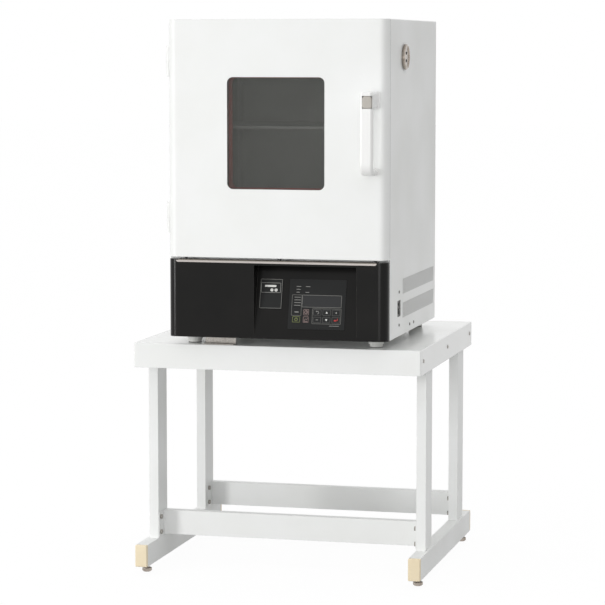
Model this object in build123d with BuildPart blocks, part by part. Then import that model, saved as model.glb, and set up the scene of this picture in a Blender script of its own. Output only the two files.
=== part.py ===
from build123d import *
import os
from math import asin, cos, pi, radians, sin, tan

# Laboratory drying oven on its matching steel stand. Sizes are in millimetres.
# X points to the user's right, Y points into the oven and Z points up.
# The origin is the middle of the whole object, on the floor.

os.makedirs("parts", exist_ok=True)

# Fits shared by the whole object
seat_gap = 0.1          # between two still pieces that lie on each other
slip_gap = 0.3          # round a piece in its recess, and between two moving pieces
pin_gap = 0.05          # radial play of a hinge pin in its barrel
weld_gap = 0.05         # between the tubes of one welded frame

# Stand
stand_width = 766.0
stand_depth = 716.0
stand_height = 617.0
skirt_height = 65.0
pan_sheet = 2.0
pan_corner = 4.0
tube_wall = 2.0
rail_width = 32.0
rail_height = 58.0
rail_clearance = 21.0   # free height under the foot rails
leg_width = 25.0
leg_depth = 78.0
front_leg_setback = 106.0
rear_leg_setback = 89.0
channel_height = 45.0
stretcher_height = 65.0
stretcher_lift = 4.0    # above the foot rails
stretcher_insets = (46.0, 58.0)     # of each web behind the front face of its leg
stretcher_flange = 24.0
stretcher_sheet = 2.0
tab_length = 45.0
bolt_inset = 11.0
bolt_spacing = 41.0
bolt_radius = 4.0
bolt_head = 6.5
bolt_head_height = 5.0
bolt_length = 12.0
side_screw_drop = 30.0
side_screw_inset = 34.0
side_screw_head = 5.0
side_screw_head_height = 2.6
side_screw_radius = 2.5
side_screw_length = 9.0
cap_length = 12.0
cap_plug = 14.0
cap_round = 2.5

# Levelling feet
leveller_inset = 53.0
pad_radius = 13.0
pad_height = 11.0
pad_edge = 3.0
stud_radius = 5.0
stud_reach = 22.0       # of the stud above the underside of the rail
nut_radius = 9.0
lock_nut_height = 5.0
rail_nut_radius = 9.0
rail_nut_height = 12.0

# Oven case
oven_offset = 11.0      # of the oven's middle to the right of the stand's
stand_setback = 29.0    # of the stand's front edge behind the door's face
oven_width = 580.0
oven_depth = 620.0
case_height = 816.0
foot_height = 23.0
case_sheet = 1.2
case_bend = 3.0
case_flange = 14.0
base_sheet = 2.0
corner_radius = 23.5    # upright front corners of door and fascia
door_thickness = 29.0
door_seam = 2.0         # between the door's rim and the case
door_lift = 207.0       # of the door above the bottom of the case
foot_radius = 20.0
foot_tread_radius = 17.0
foot_tread_height = 9.0
foot_inset = 47.0
foot_front_depth = 86.0
foot_rear_depth = 590.0
bracket_left = -207.0
bracket_width = 82.0
bracket_sheet = 2.0
bracket_base = 26.0
bracket_depth = 60.0
bracket_screw_inset = 20.0

# Vents, breaker and screws in the sides of the case
vent_pitch = 10.0
vent_count = 41
vent_width = 4.0
vent_height = 40.5
vent_front = 194.0
vent_upper = 148.5
vent_lower = 86.0
breaker_depth_place = 144.0
breaker_level = 95.0
breaker_width = 38.0
breaker_height = 42.0
breaker_body_depth = 55.0
breaker_recess = 2.0
breaker_ear_sheet = 2.0
breaker_ear_end = 8.0   # past the screw
breaker_screw_spacing = 86.0
rocker_radius = 9.0
rocker_width = 14.0
rocker_lever = 2.5
rocker_lever_height = 6.0
rocker_travel = 30.0
rocker_slack = 6.0
low_screw_depths = (278.0, 329.0)
low_screw_level = 41.0
case_screw_head = 4.0
case_screw_head_height = 2.0
case_screw_radius = 1.8
case_screw_length = 6.0
back_screw_inset = 14.0
back_screw_count = 4    # at each side of the back

# Chamber
chamber_width = 450.0
chamber_depth = 450.0
chamber_level = 315.0   # of the chamber floor above the stand
roof_drop = 74.0        # of the chamber's roof below the top of the case
liner_sheet = 1.0
liner_flange = 12.0
deck_level = 228.0
deck_sheet = 1.2
frame_sheet = 1.5
frame_window_margin = 22.0
gasket_width = 14.0
gasket_inset = 3.0
shelf_level = 565.0
shelf_thickness = 1.2
shelf_lip = 6.0
shelf_margin = 12.0
shelf_side_gap = 7.4    # between the shelf's edge and the rail posts
shelf_hole = 9.0
shelf_hole_pitch = 38.0
shelf_hole_rows = 10
post_width = 12.0
post_depth = 7.0
post_notch = 5.0
post_notch_depth = 3.5
post_notch_pitch = 30.0
post_drop = 60.0        # of the rail posts below the chamber's roof
post_insets = (60.0, 390.0)
runner_width = 15.0
runner_sheet = 1.5
runner_fold = 10.0
runner_overhang = 12.0  # past the posts, to the front and the rear
heater_radius = 4.0
heater_level = 18.0     # above the chamber floor
heater_spread = 90.0
heater_centre = 105.0
heater_bend = 24.0
heater_front_inset = 60.0
heater_tail = 22.0
cover_level = 36.0
cover_margin = 14.0
cover_hole = 6.0
cover_hole_pitch = 62.0
cover_hole_rows = 6
sensor_radius = 2.4
sensor_tip_round = 1.9
sensor_x = 205.0
sensor_drop = 18.0      # below the chamber's roof
sensor_reach = 90.0
sensor_tail = 40.0
gland_x = -205.0
gland_level = 65.0
gland_bore = 5.5
gland_radius = 9.0
gland_flange = 14.0
gland_flange_height = 6.0
gland_nose = 16.0
gland_inside = 12.0

# Exhaust port and its damper, on the right side
port_depth_place = 196.0
port_drop = 22.0        # of the port's middle below the chamber's roof
port_outer = 17.0
port_wall = 2.0
port_flange = 30.0
port_flange_height = 1.5
port_window_inner = 6.0
port_window_outer = 14.0
port_window_angle = 84.0
port_pin = 2.5
dial_radius = 33.0
dial_height = 7.0
dial_rim = 3.0
dial_dish = 3.0
dial_dish_radius = 26.0

# Fascia and its slanted console
fascia_wall = 2.5
fascia_height = 201.0
fascia_boss = 6.0
fascia_boss_inset = 22.0
well_left = -60.0
well_right = 210.0
console_bottom = 31.0
console_top = 212.0
console_tilt = 14.0
strip_half_width = 266.0
strip_offset = -3.0
strip_height = 5.0
strip_proud = 0.6
strip_mitre = 4.0
strip_drop = 2.0

# Overheat protector, places along the console's slope
protector_x = -20.8
protector_v = 109.5
protector_width = 58.5
protector_height = 77.0
protector_proud = 1.6
protector_lip = 4.0
protector_body_depth = 34.0
protector_key_x = (-19.0, -8.0)
protector_key_v = 119.0
protector_key_radius = 4.2

# Controller, places along the console's slope
controller_x = 102.5
controller_v = 84.5
controller_width = 149.0
controller_height = 129.0
controller_proud = 1.2
controller_corner = 2.0
controller_lip = 4.0
controller_body_depth = 30.0
display_x = 114.5
display_v = 92.5
display_width = 104.0
display_height = 31.0
display_thickness = 1.2
key_columns = ((49.5, 24.0), (75.0, 18.0), (104.3, 24.7), (129.0, 24.7), (153.7, 24.7))
key_rows = (63.5, 44.5)
key_pitch_v = 19.0
key_border = 1.5
key_proud = 0.5
key_thickness = 2.6
key_travel = 0.4
key_corner = 1.5

# Door
door_sheet = 1.2
door_edge = 0.8
window_width = 256.0
window_sill = 91.5      # above the chamber floor
window_head = 73.0      # below the chamber's roof
window_corner = 15.0
window_x = -2.0
glass_thickness = 5.0
outer_glass_overlap = 10.0
tunnel_margin = 7.0
inner_glass_overlap = 5.0
seal_lip = 5.0
seal_front = 2.0
seal_back = 0.6
door_rim = 4.0          # of the rim behind the inner liner
plug_margin = 6.0       # between the plug and the chamber wall
plug_depth = 23.0
insulation_gap = 0.4

# Handle, thumb button and latch
handle_x = 248.5
handle_width = 34.0
handle_bottom = 446.0
handle_top = 656.0
handle_reach = 70.0
handle_grip = 20.0
handle_lower_arm = 17.0
handle_upper_arm = 42.0
handle_bottom_round = 30.0
handle_top_round = 22.0
handle_gap_round = 8.0
handle_edge_round = 8.0
handle_flare = 5.0       # of each arm's foot on the door, past its sides
handle_flare_height = 3.0
button_right = 3.0       # of the handle's middle
button_width = 25.0
button_height = 31.0
button_level = 631.0
button_thickness = 9.0
button_proud = 1.5
button_round = 8.0
button_corner = 5.0
button_edge_round = 3.5
button_travel = 5.0
button_stem = 3.0
button_stem_end = 9.0   # behind the door's face
latch_x = 265.0
latch_bar_depth = 12.0
latch_bar_thickness = 5.0
latch_bar_height = 16.0
latch_tongue_width = 6.0
latch_tongue_height = 10.0
latch_tongue_end = 42.0
latch_nose = 4.0
latch_travel = 5.0
latch_play = 0.6        # at each side of the tongue in its slot
latch_bar_reach = 6.0   # past the stem's axis
latch_room = 6.0        # round the latch in the wool
strike_margin = 8.0
strike_sheet = 2.0

# Hinges, outside the left side
hinge_low = 60.0        # of the lower hinge above the bottom of the door
hinge_high = 146.0      # of the upper hinge's foot below the top of the door
hinge_height = 79.0
hinge_radius = 6.0
hinge_clear = 0.5       # between the barrel and the case
hinge_pin = 3.0
hinge_leaf = 2.0
hinge_cap = 2.0         # of the barrel over the end of the pin
hinge_case_leaf = 28.0
hinge_door_leaf = 12.0
hinge_lag = 4.0         # of the axis behind the front edge of the case

# Places that follow from the sizes above
front_reach = handle_reach + button_proud
total_depth = front_reach + stand_setback + stand_depth
oven_front_y = front_reach - total_depth / 2
stand_front_y = oven_front_y + stand_setback
case_front = door_thickness + door_seam
case_bottom = foot_height
case_top = foot_height + case_height
case_half = oven_width / 2
inside_half = case_half - case_sheet - seat_gap
inside_low = case_bottom + case_sheet + seat_gap
inside_high = case_top - case_sheet - seat_gap
door_bottom = case_bottom + door_lift
frame_front = case_front + seat_gap
frame_back = frame_front + frame_sheet
liner_back_depth = door_thickness - door_rim + plug_depth + chamber_depth
chamber_half = chamber_width / 2
chamber_top = case_top - roof_drop
chamber_height = chamber_top - chamber_level
chamber_middle = chamber_level + chamber_height / 2
port_level = chamber_top - port_drop
inner_panel = door_thickness - door_rim
plug_end = inner_panel + plug_depth
oven_base = Vector(oven_offset, oven_front_y, stand_height)
stand_base = Vector(0, stand_front_y, 0)
slope = radians(console_tilt)


def oven_front(depth):
    """Front view of the oven, normal to the user, at a depth behind the door's face."""
    return Plane(oven_base + Vector(0, depth, 0), x_dir=(1, 0, 0), z_dir=(0, -1, 0))


def oven_level(height):
    """Plan view of the oven at a height above the top of the stand."""
    return Plane(oven_base + Vector(0, 0, height), x_dir=(1, 0, 0), z_dir=(0, 0, 1))


def oven_side(x):
    """Right-hand side view of the oven; its local x runs into the oven and its y up."""
    return Plane(oven_base + Vector(x, 0, 0), x_dir=(0, 1, 0), z_dir=(1, 0, 0))


def stand_level(height):
    """Plan view of the stand at a height above the floor, from the middle of its front edge."""
    return Plane(stand_base + Vector(0, 0, height), x_dir=(1, 0, 0), z_dir=(0, 0, 1))


def stand_side(x):
    """Right-hand side view of the stand; its local x runs backwards and its y up."""
    return Plane(stand_base + Vector(x, 0, 0), x_dir=(0, 1, 0), z_dir=(1, 0, 0))


def block(x, y, z, base=oven_base, mode=Mode.ADD):
    """Box between two places on each axis, counted from the oven or from the stand."""
    middle = Vector((x[0] + x[1]) / 2, (y[0] + y[1]) / 2, (z[0] + z[1]) / 2)
    with Locations(base + middle):
        Box(abs(x[1] - x[0]), abs(y[1] - y[0]), abs(z[1] - z[0]), mode=mode)


def tube(x, y, z, run):
    """Rectangular steel tube of the stand, open at both ends of the axis called run."""
    block(x, y, z, stand_base)
    hollow = []
    for axis, (low, high) in zip("xyz", (x, y, z)):
        wall = 0 if axis == run else tube_wall
        hollow.append((low + wall, high - wall))
    block(*hollow, base=stand_base, mode=Mode.SUBTRACT)


def drill(plane, places, radius, depth):
    """Round holes cut from a plane to both sides of it."""
    with BuildSketch(plane) as holes:
        with Locations(*places):
            Circle(radius)
    extrude(holes.sketch, amount=depth, both=True, mode=Mode.SUBTRACT)


def screw(plane, place, head, head_height, shank, length):
    """Pan-head screw: the head stands on the plane and the shank goes in behind it."""
    centre = plane.from_local_coords(Vector(place[0], place[1], 0))
    profile_plane = Plane(centre, x_dir=plane.x_dir, z_dir=-plane.y_dir)
    rim = head_height / 2
    dome = (head**2 + rim**2) / (2 * rim)
    half_turn = asin(head / dome) / 2
    crown = (dome * sin(half_turn), head_height - dome + dome * cos(half_turn))
    with BuildSketch(profile_plane) as profile:
        with BuildLine():
            Polyline((0, head_height), (0, -length), (shank, -length), (shank, seat_gap),
                     (head, seat_gap), (head, rim))
            ThreePointArc((head, rim), crown, (0, head_height))
        make_face()
    revolve(profile.sketch, axis=Axis(centre, plane.z_dir))


def save(piece, name):
    """Label a finished piece and write it as its own node."""
    piece.part.label = name
    export_step(piece.part, f"parts/{name}.step")


# Stand: a folded top pan on two welded side frames, tied by two stretchers

stand_half = stand_width / 2
frame_inner = stand_half - rail_width
rail_top = rail_clearance + rail_height
channel_top = stand_height - pan_sheet - seat_gap
channel_bottom = channel_top - channel_height
channel_outer = stand_half - pan_sheet - seat_gap
stretcher_bottom = rail_top + stretcher_lift
stretcher_top = stretcher_bottom + stretcher_height
stretcher_middle = (stretcher_bottom + stretcher_top) / 2
rear_leg_front = stand_depth - rear_leg_setback - leg_depth
leg_fronts = (front_leg_setback, rear_leg_front)
webs = [front + inset for front, inset in zip(leg_fronts, stretcher_insets)]
side_screw_level = stand_height - side_screw_drop
side_screw_places = [
    (side_screw_inset, side_screw_level),
    (stand_depth / 2, side_screw_level),
    (stand_depth - side_screw_inset, side_screw_level),
]
leveller_places = (leveller_inset, stand_depth - leveller_inset)
side_screw_size = (side_screw_head, side_screw_head_height, side_screw_radius, side_screw_length)


def stretcher_bolts(web):
    """Places, in the side view, of the two bolts at each end of a stretcher."""
    depth = web - tab_length + bolt_inset
    return [(depth, stretcher_middle + rise) for rise in (-bolt_spacing / 2, bolt_spacing / 2)]


with BuildPart() as stand_top:
    with BuildSketch(stand_level(stand_height - skirt_height)):
        with Locations((0, stand_depth / 2)):
            RectangleRounded(stand_width, stand_depth, pan_corner)
    extrude(amount=skirt_height)
    fillet(stand_top.faces().sort_by(Axis.Z)[-1].edges(), pan_sheet)
    with BuildSketch(stand_level(stand_height - skirt_height)):
        with Locations((0, stand_depth / 2)):
            Rectangle(stand_width - 2 * pan_sheet, stand_depth - 2 * pan_sheet)
    extrude(amount=skirt_height - pan_sheet, mode=Mode.SUBTRACT)
    for side in (-1, 1):
        drill(stand_side(side * stand_half), side_screw_places, side_screw_radius + seat_gap, 2 * pan_sheet)
save(stand_top, "stand_top")

for side, word in ((-1, "left"), (1, "right")):
    with BuildPart() as side_frame:
        rail_x = sorted((side * frame_inner, side * stand_half))
        tube(rail_x, (cap_length, stand_depth - cap_length), (rail_clearance, rail_top), "y")
        leg_x = sorted((side * frame_inner, side * (frame_inner + leg_width)))
        for front in leg_fronts:
            tube(leg_x, (front, front + leg_depth), (rail_top + weld_gap, channel_bottom - weld_gap), "z")
        channel_x = sorted((side * frame_inner, side * channel_outer))
        channel_y = (pan_sheet + slip_gap, stand_depth - pan_sheet - slip_gap)
        tube(channel_x, channel_y, (channel_bottom, channel_top), "y")
        rail_middle = side * (stand_half - rail_width / 2)
        stud_places = [(rail_middle, depth) for depth in leveller_places]
        nut_bottom = rail_clearance + tube_wall
        with BuildSketch(stand_level(nut_bottom)):
            with Locations(*stud_places):
                Circle(rail_nut_radius)
        extrude(amount=rail_nut_height)
        drill(stand_level(nut_bottom), stud_places, stud_radius + slip_gap, rail_nut_height)
        bolt_plane = stand_side(side * (frame_inner + tube_wall / 2))
        for web in webs:
            drill(bolt_plane, stretcher_bolts(web), bolt_radius + seat_gap, tube_wall)
        screw_plane = stand_side(side * (channel_outer - tube_wall / 2))
        drill(screw_plane, side_screw_places, side_screw_radius + seat_gap, tube_wall)
    save(side_frame, f"side_frame_{word}")

stretcher_end = frame_inner - seat_gap
for web, word in zip(webs, ("front", "rear")):
    with BuildPart() as stretcher:
        span = (-stretcher_end, stretcher_end)
        height = (stretcher_bottom, stretcher_top)
        block(span, (web, web + stretcher_sheet), height, stand_base)
        for low in (stretcher_bottom, stretcher_top - stretcher_sheet):
            block(span, (web, web + stretcher_flange), (low, low + stretcher_sheet), stand_base)
        for side in (-1, 1):
            tab_x = sorted((side * (stretcher_end - stretcher_sheet), side * stretcher_end))
            block(tab_x, (web - tab_length, web + stretcher_sheet), height, stand_base)
            tab_plane = stand_side(side * (stretcher_end - stretcher_sheet / 2))
            drill(tab_plane, stretcher_bolts(web), bolt_radius + seat_gap, stretcher_sheet)
    save(stretcher, f"stretcher_{word}")

with BuildPart() as stand_bolts:
    for side in (-1, 1):
        head_x = side * (stretcher_end - stretcher_sheet - seat_gap)
        inwards = Plane(stand_base + Vector(head_x, 0, 0), x_dir=(0, -side, 0), z_dir=(-side, 0, 0))
        bolt_places = [(-side * y, z) for web in webs for y, z in stretcher_bolts(web)]
        with BuildSketch(inwards):
            with Locations(*bolt_places):
                RegularPolygon(bolt_head, 6)
        extrude(amount=bolt_head_height)
        with BuildSketch(inwards):
            with Locations(*bolt_places):
                Circle(bolt_radius)
        extrude(amount=-bolt_length)
        skirt = stand_base + Vector(side * stand_half, 0, 0)
        outwards = Plane(skirt, x_dir=(0, side, 0), z_dir=(side, 0, 0))
        for y, z in side_screw_places:
            screw(outwards, (side * y, z), *side_screw_size)
save(stand_bolts, "stand_bolts")

with BuildPart() as rail_end_caps:
    cap_face = cap_length - seat_gap
    plug_wall = tube_wall + slip_gap
    for side in (-1, 1):
        rail_middle = side * (stand_half - rail_width / 2)
        for depth, outwards in ((cap_face, -1), (stand_depth - cap_face, 1)):
            middle = stand_base + Vector(rail_middle, depth, rail_clearance + rail_height / 2)
            cap_plane = Plane(middle, x_dir=(1, 0, 0), z_dir=(0, outwards, 0))
            with BuildSketch(cap_plane):
                RectangleRounded(rail_width, rail_height, cap_round)
            extrude(amount=cap_face)
            with BuildSketch(cap_plane):
                Rectangle(rail_width - 2 * plug_wall, rail_height - 2 * plug_wall)
            extrude(amount=-cap_plug)
    ends = rail_end_caps.faces().group_by(Axis.Y)
    for faces in (ends[0], ends[-1]):
        fillet(faces.edges(), cap_round)
save(rail_end_caps, "rail_end_caps")

leveller_words = {(-1, 0): "front_left", (1, 0): "front_right", (-1, 1): "rear_left", (1, 1): "rear_right"}
for (side, row), word in leveller_words.items():
    with BuildPart() as leveller:
        foot = stand_base + Vector(side * (stand_half - rail_width / 2), leveller_places[row], 0)
        with BuildSketch(Plane(foot, x_dir=(1, 0, 0), z_dir=(0, -1, 0))):
            with BuildLine():
                Polyline(
                    (0, 0),
                    (pad_radius - pad_edge, 0),
                    (pad_radius, pad_edge),
                    (pad_radius, pad_height - pad_edge / 2),
                    (pad_radius - pad_edge, pad_height),
                    (stud_radius, pad_height),
                    (stud_radius, rail_clearance + stud_reach),
                    (0, rail_clearance + stud_reach),
                    close=True,
                )
            make_face()
        revolve(axis=Axis(foot, (0, 0, 1)))
        with BuildSketch(Plane(foot + Vector(0, 0, rail_clearance - slip_gap - lock_nut_height))):
            RegularPolygon(nut_radius, 6)
        extrude(amount=lock_nut_height)
    save(leveller, f"leveller_{word}")

# Oven case: wrap, back, base, front frame with its deck, feet

with BuildPart() as cabinet_shell:
    with BuildSketch(oven_front(case_front)) as wrap:
        with Locations((0, case_bottom + case_height / 2)):
            Rectangle(oven_width, case_height)
        fillet(wrap.vertices().group_by(Axis.Y)[-1], case_bend)
        with Locations((0, case_bottom + (case_height - case_sheet) / 2)):
            Rectangle(oven_width - 2 * case_sheet, case_height - case_sheet, mode=Mode.SUBTRACT)
        for side in (-1, 1):
            flange_middle = side * (case_half - case_sheet - case_flange / 2)
            with Locations((flange_middle, case_bottom + case_sheet / 2)):
                Rectangle(case_flange, case_sheet)
    extrude(amount=-(oven_depth - case_front))
    vent_middle = vent_front + (vent_count - 1) * vent_pitch / 2
    vent_gap = vent_upper - vent_lower
    for side in (-1, 1):
        with BuildSketch(oven_side(side * case_half)):
            with Locations((vent_middle, (vent_upper + vent_lower) / 2)):
                with GridLocations(vent_pitch, vent_gap, vent_count, 2):
                    SlotOverall(vent_height, vent_width, rotation=90)
            if side > 0:
                with Locations((breaker_depth_place, breaker_level)):
                    Rectangle(breaker_width, breaker_height)
                with Locations((port_depth_place, port_level)):
                    Circle(port_outer + slip_gap)
        extrude(amount=2 * case_sheet, both=True, mode=Mode.SUBTRACT)
        low_places = [(depth, low_screw_level) for depth in low_screw_depths]
        drill(oven_side(side * case_half), low_places, case_screw_radius + seat_gap, 2 * case_sheet)
    breaker_places = [
        (breaker_depth_place, breaker_level + rise)
        for rise in (-breaker_screw_spacing / 2, breaker_screw_spacing / 2)
    ]
    drill(oven_side(case_half), breaker_places, case_screw_radius + seat_gap, 2 * case_sheet)
save(cabinet_shell, "cabinet_shell")

back_front = oven_depth - case_sheet
back_screw_spacing = (inside_high - inside_low - 2 * back_screw_inset) / (back_screw_count - 1)
back_screw_places = [
    (side * (inside_half - back_screw_inset), inside_low + back_screw_inset + step * back_screw_spacing)
    for side in (-1, 1)
    for step in range(back_screw_count)
]
with BuildPart() as cabinet_back:
    block((-inside_half, inside_half), (back_front, oven_depth), (inside_low, inside_high))
    drill(oven_front(oven_depth), [(gland_x, gland_level)], gland_radius + slip_gap, 2 * case_sheet)
    drill(oven_front(oven_depth), back_screw_places, case_screw_radius + seat_gap, 2 * case_sheet)
    with BuildSketch(oven_front(oven_depth)):
        with Locations((0, (vent_upper + vent_lower) / 2)):
            with GridLocations(2 * vent_pitch, vent_gap, vent_count // 2, 2):
                SlotOverall(vent_height, vent_width, rotation=90)
    extrude(amount=2 * case_sheet, both=True, mode=Mode.SUBTRACT)
save(cabinet_back, "cabinet_back")

base_run = (frame_back + seat_gap, back_front - seat_gap)
with BuildPart() as cabinet_base:
    block((-inside_half, inside_half), base_run, (inside_low, inside_low + base_sheet))
    for side in (-1, 1):
        flange_x = sorted((side * (inside_half - base_sheet), side * inside_half))
        block(flange_x, base_run, (inside_low, inside_low + case_flange))
save(cabinet_base, "cabinet_base")

slot_half_width = latch_tongue_width / 2 + latch_play
slot_half_height = latch_tongue_height / 2 + latch_nose + latch_travel
slot_x = (latch_x - slot_half_width, latch_x + slot_half_width)
slot_z = (button_level - slot_half_height, button_level + slot_half_height)
electronics_half = inside_half - frame_window_margin
electronics_z = (inside_low + frame_window_margin, console_top + fascia_wall + door_seam)
frame_y = (frame_front, frame_back)
with BuildPart() as front_frame:
    block((-inside_half, inside_half), frame_y, (inside_low, inside_high))
    mouth_z = (chamber_level, chamber_top)
    block((-chamber_half, chamber_half), frame_y, mouth_z, mode=Mode.SUBTRACT)
    block((-electronics_half, electronics_half), frame_y, electronics_z, mode=Mode.SUBTRACT)
    block(slot_x, frame_y, slot_z, mode=Mode.SUBTRACT)
    deck_z = (deck_level, deck_level + deck_sheet)
    block((-inside_half, inside_half), (frame_front, back_front - seat_gap), deck_z)
save(front_frame, "front_frame")

with BuildPart() as oven_feet:
    for side in (-1, 1):
        for depth in (foot_front_depth, foot_rear_depth):
            foot_place = (side * (case_half - foot_inset), depth)
            with BuildSketch(oven_level(seat_gap)):
                with Locations(foot_place):
                    Circle(foot_tread_radius)
            extrude(amount=foot_tread_height)
            with BuildSketch(oven_level(foot_tread_height)):
                with Locations(foot_place):
                    Circle(foot_radius)
            extrude(amount=inside_low - seat_gap - foot_tread_height)
save(oven_feet, "oven_feet")

with BuildPart() as fixing_bracket:
    bracket_x = (bracket_left, bracket_left + bracket_width)
    upright_y = (bracket_depth, bracket_depth + bracket_sheet)
    block(bracket_x, upright_y, (seat_gap, inside_low - seat_gap))
    base_y = (bracket_depth - bracket_base, bracket_depth + bracket_sheet)
    block(bracket_x, base_y, (seat_gap, seat_gap + bracket_sheet))
    bracket_screw = (bracket_left + bracket_screw_inset, bracket_depth - bracket_base / 2)
    screw(
        oven_level(seat_gap + bracket_sheet),
        bracket_screw,
        case_screw_head,
        case_screw_head_height,
        case_screw_radius,
        bracket_sheet / 2,
    )
save(fixing_bracket, "fixing_bracket")

# Chamber: liner, insulation, shelf, heater and sensor

port_place = (port_depth_place, port_level)
sensor_place = (sensor_x, chamber_top - sensor_drop)
heater_places = [
    (side * heater_centre + end * heater_spread / 2, chamber_level + heater_level)
    for side in (-1, 1)
    for end in (-1, 1)
]
with BuildPart() as chamber_liner:
    outer = chamber_half + liner_sheet
    liner_front = frame_back + seat_gap
    outer_z = (chamber_level - liner_sheet, chamber_top + liner_sheet)
    block((-outer, outer), (liner_front, liner_back_depth + liner_sheet), outer_z)
    rim = outer + liner_flange
    rim_z = (outer_z[0] - liner_flange, outer_z[1] + liner_flange)
    block((-rim, rim), (liner_front, liner_front + liner_sheet), rim_z)
    cavity_z = (chamber_level, chamber_top)
    block((-chamber_half, chamber_half), (liner_front, liner_back_depth), cavity_z, mode=Mode.SUBTRACT)
    drill(oven_side(outer), [port_place], port_outer + slip_gap, 2 * liner_sheet)
    drill(oven_front(liner_back_depth), heater_places, heater_radius + slip_gap, 2 * liner_sheet)
    drill(oven_front(liner_back_depth), [sensor_place], sensor_radius + slip_gap, 2 * liner_sheet)
save(chamber_liner, "chamber_liner")

strike_x = (slot_x[0] - strike_margin, slot_x[1] + strike_margin)
strike_z = (slot_z[0] - strike_margin, slot_z[1] + strike_margin)
wool_low = deck_level + deck_sheet + insulation_gap
wool_high = inside_high - insulation_gap
with BuildPart() as chamber_insulation:
    wool_half = inside_half - insulation_gap
    wool_front = liner_front + liner_sheet + insulation_gap
    wool_back = oven_depth - case_screw_length - insulation_gap
    block((-wool_half, wool_half), (wool_front, wool_back), (wool_low, wool_high))
    hollow = outer + insulation_gap
    hollow_z = (chamber_level - liner_sheet - insulation_gap, chamber_top + liner_sheet + insulation_gap)
    hollow_back = liner_back_depth + liner_sheet + insulation_gap
    block((-hollow, hollow), (wool_front, hollow_back), hollow_z, mode=Mode.SUBTRACT)
    pocket_x = (strike_x[0] - insulation_gap, strike_x[1] + insulation_gap)
    pocket_y = (wool_front, latch_tongue_end + strike_margin)
    pocket_z = (strike_z[0] - insulation_gap, strike_z[1] + insulation_gap)
    block(pocket_x, pocket_y, pocket_z, mode=Mode.SUBTRACT)
    with BuildSketch(oven_side(outer)):
        with Locations(port_place):
            Circle(port_outer + slip_gap)
    extrude(amount=case_half - outer, mode=Mode.SUBTRACT)
    tail_depth = wool_back - hollow_back
    with BuildSketch(oven_front(hollow_back)):
        with Locations(*heater_places):
            Circle(heater_radius + slip_gap)
        with Locations(sensor_place):
            Circle(sensor_radius + slip_gap)
    extrude(amount=-tail_depth, mode=Mode.SUBTRACT)
save(chamber_insulation, "chamber_insulation")

post_height = chamber_height - post_drop
post_face = chamber_half - seat_gap
post_inner = post_face - post_depth
runner_inner = post_inner - runner_width
runner_top = shelf_level - seat_gap
with BuildPart() as shelf_rails:
    for side in (-1, 1):
        for inset in post_insets:
            post_x = sorted((side * post_inner, side * post_face))
            post_y = (plug_end + inset, plug_end + inset + post_width)
            post_z = (chamber_level + seat_gap, chamber_level + post_height)
            block(post_x, post_y, post_z)
            notch_count = int(post_height / post_notch_pitch) - 1
            for step in range(1, notch_count + 1):
                notch_z = chamber_level + step * post_notch_pitch
                if abs(notch_z - shelf_level) > runner_fold + post_notch:
                    notch_x = sorted((side * post_inner, side * (post_inner + post_notch_depth)))
                    notch_span = (notch_z - post_notch / 2, notch_z + post_notch / 2)
                    block(notch_x, post_y, notch_span, mode=Mode.SUBTRACT)
        run_front = plug_end + post_insets[0] - runner_overhang
        run = (run_front, plug_end + post_insets[1] + post_width + runner_overhang)
        ledge_x = sorted((side * runner_inner, side * post_inner))
        block(ledge_x, run, (runner_top - runner_sheet, runner_top))
        fold_x = sorted((side * (post_inner - runner_sheet), side * post_inner))
        block(fold_x, run, (runner_top - runner_fold, runner_top))
save(shelf_rails, "shelf_rails")

shelf_front = plug_end + shelf_margin
shelf_back = liner_back_depth - shelf_margin
with BuildPart() as shelf:
    plate_half = post_inner - shelf_side_gap
    plate_z = (shelf_level, shelf_level + shelf_thickness)
    block((-plate_half, plate_half), (shelf_front, shelf_back), plate_z)
    for edge in (shelf_front, shelf_back - shelf_thickness):
        lip_half = runner_inner - slip_gap
        lip_z = (shelf_level - shelf_lip, shelf_level + shelf_thickness)
        block((-lip_half, lip_half), (edge, edge + shelf_thickness), lip_z)
    with BuildSketch(oven_level(shelf_level)):
        with Locations((0, (shelf_front + shelf_back) / 2)):
            with GridLocations(shelf_hole_pitch, shelf_hole_pitch, shelf_hole_rows, shelf_hole_rows):
                Circle(shelf_hole)
    extrude(amount=shelf_thickness, mode=Mode.SUBTRACT)
save(shelf, "shelf")

heater_z = chamber_level + heater_level
with BuildPart() as heater:
    for side in (-1, 1):
        left = side * heater_centre - heater_spread / 2
        right = side * heater_centre + heater_spread / 2
        rear = liner_back_depth + heater_tail
        front = plug_end + heater_front_inset
        corners = [(left, rear), (left, front), (right, front), (right, rear)]
        path_points = [oven_base + Vector(x, y, heater_z) for x, y in corners]
        with BuildLine() as sheath:
            FilletPolyline(*path_points, radius=heater_bend)
        with BuildSketch(Plane(path_points[0], x_dir=(1, 0, 0), z_dir=(0, -1, 0))):
            Circle(heater_radius)
        sweep(path=sheath.wires()[0])
save(heater, "heater")

with BuildPart() as heater_cover:
    cover_half = chamber_half - cover_margin
    cover_y = (plug_end + cover_margin, liner_back_depth - cover_margin)
    cover_z = chamber_level + cover_level
    block((-cover_half, cover_half), cover_y, (cover_z - liner_sheet, cover_z))
    for side in (-1, 1):
        skirt_x = sorted((side * (cover_half - liner_sheet), side * cover_half))
        block(skirt_x, cover_y, (chamber_level + seat_gap, cover_z))
    with BuildSketch(oven_level(cover_z - liner_sheet)):
        with Locations((0, sum(cover_y) / 2)):
            with GridLocations(cover_hole_pitch, cover_hole_pitch, cover_hole_rows, cover_hole_rows):
                Circle(cover_hole)
    extrude(amount=liner_sheet, mode=Mode.SUBTRACT)
save(heater_cover, "heater_cover")

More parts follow.
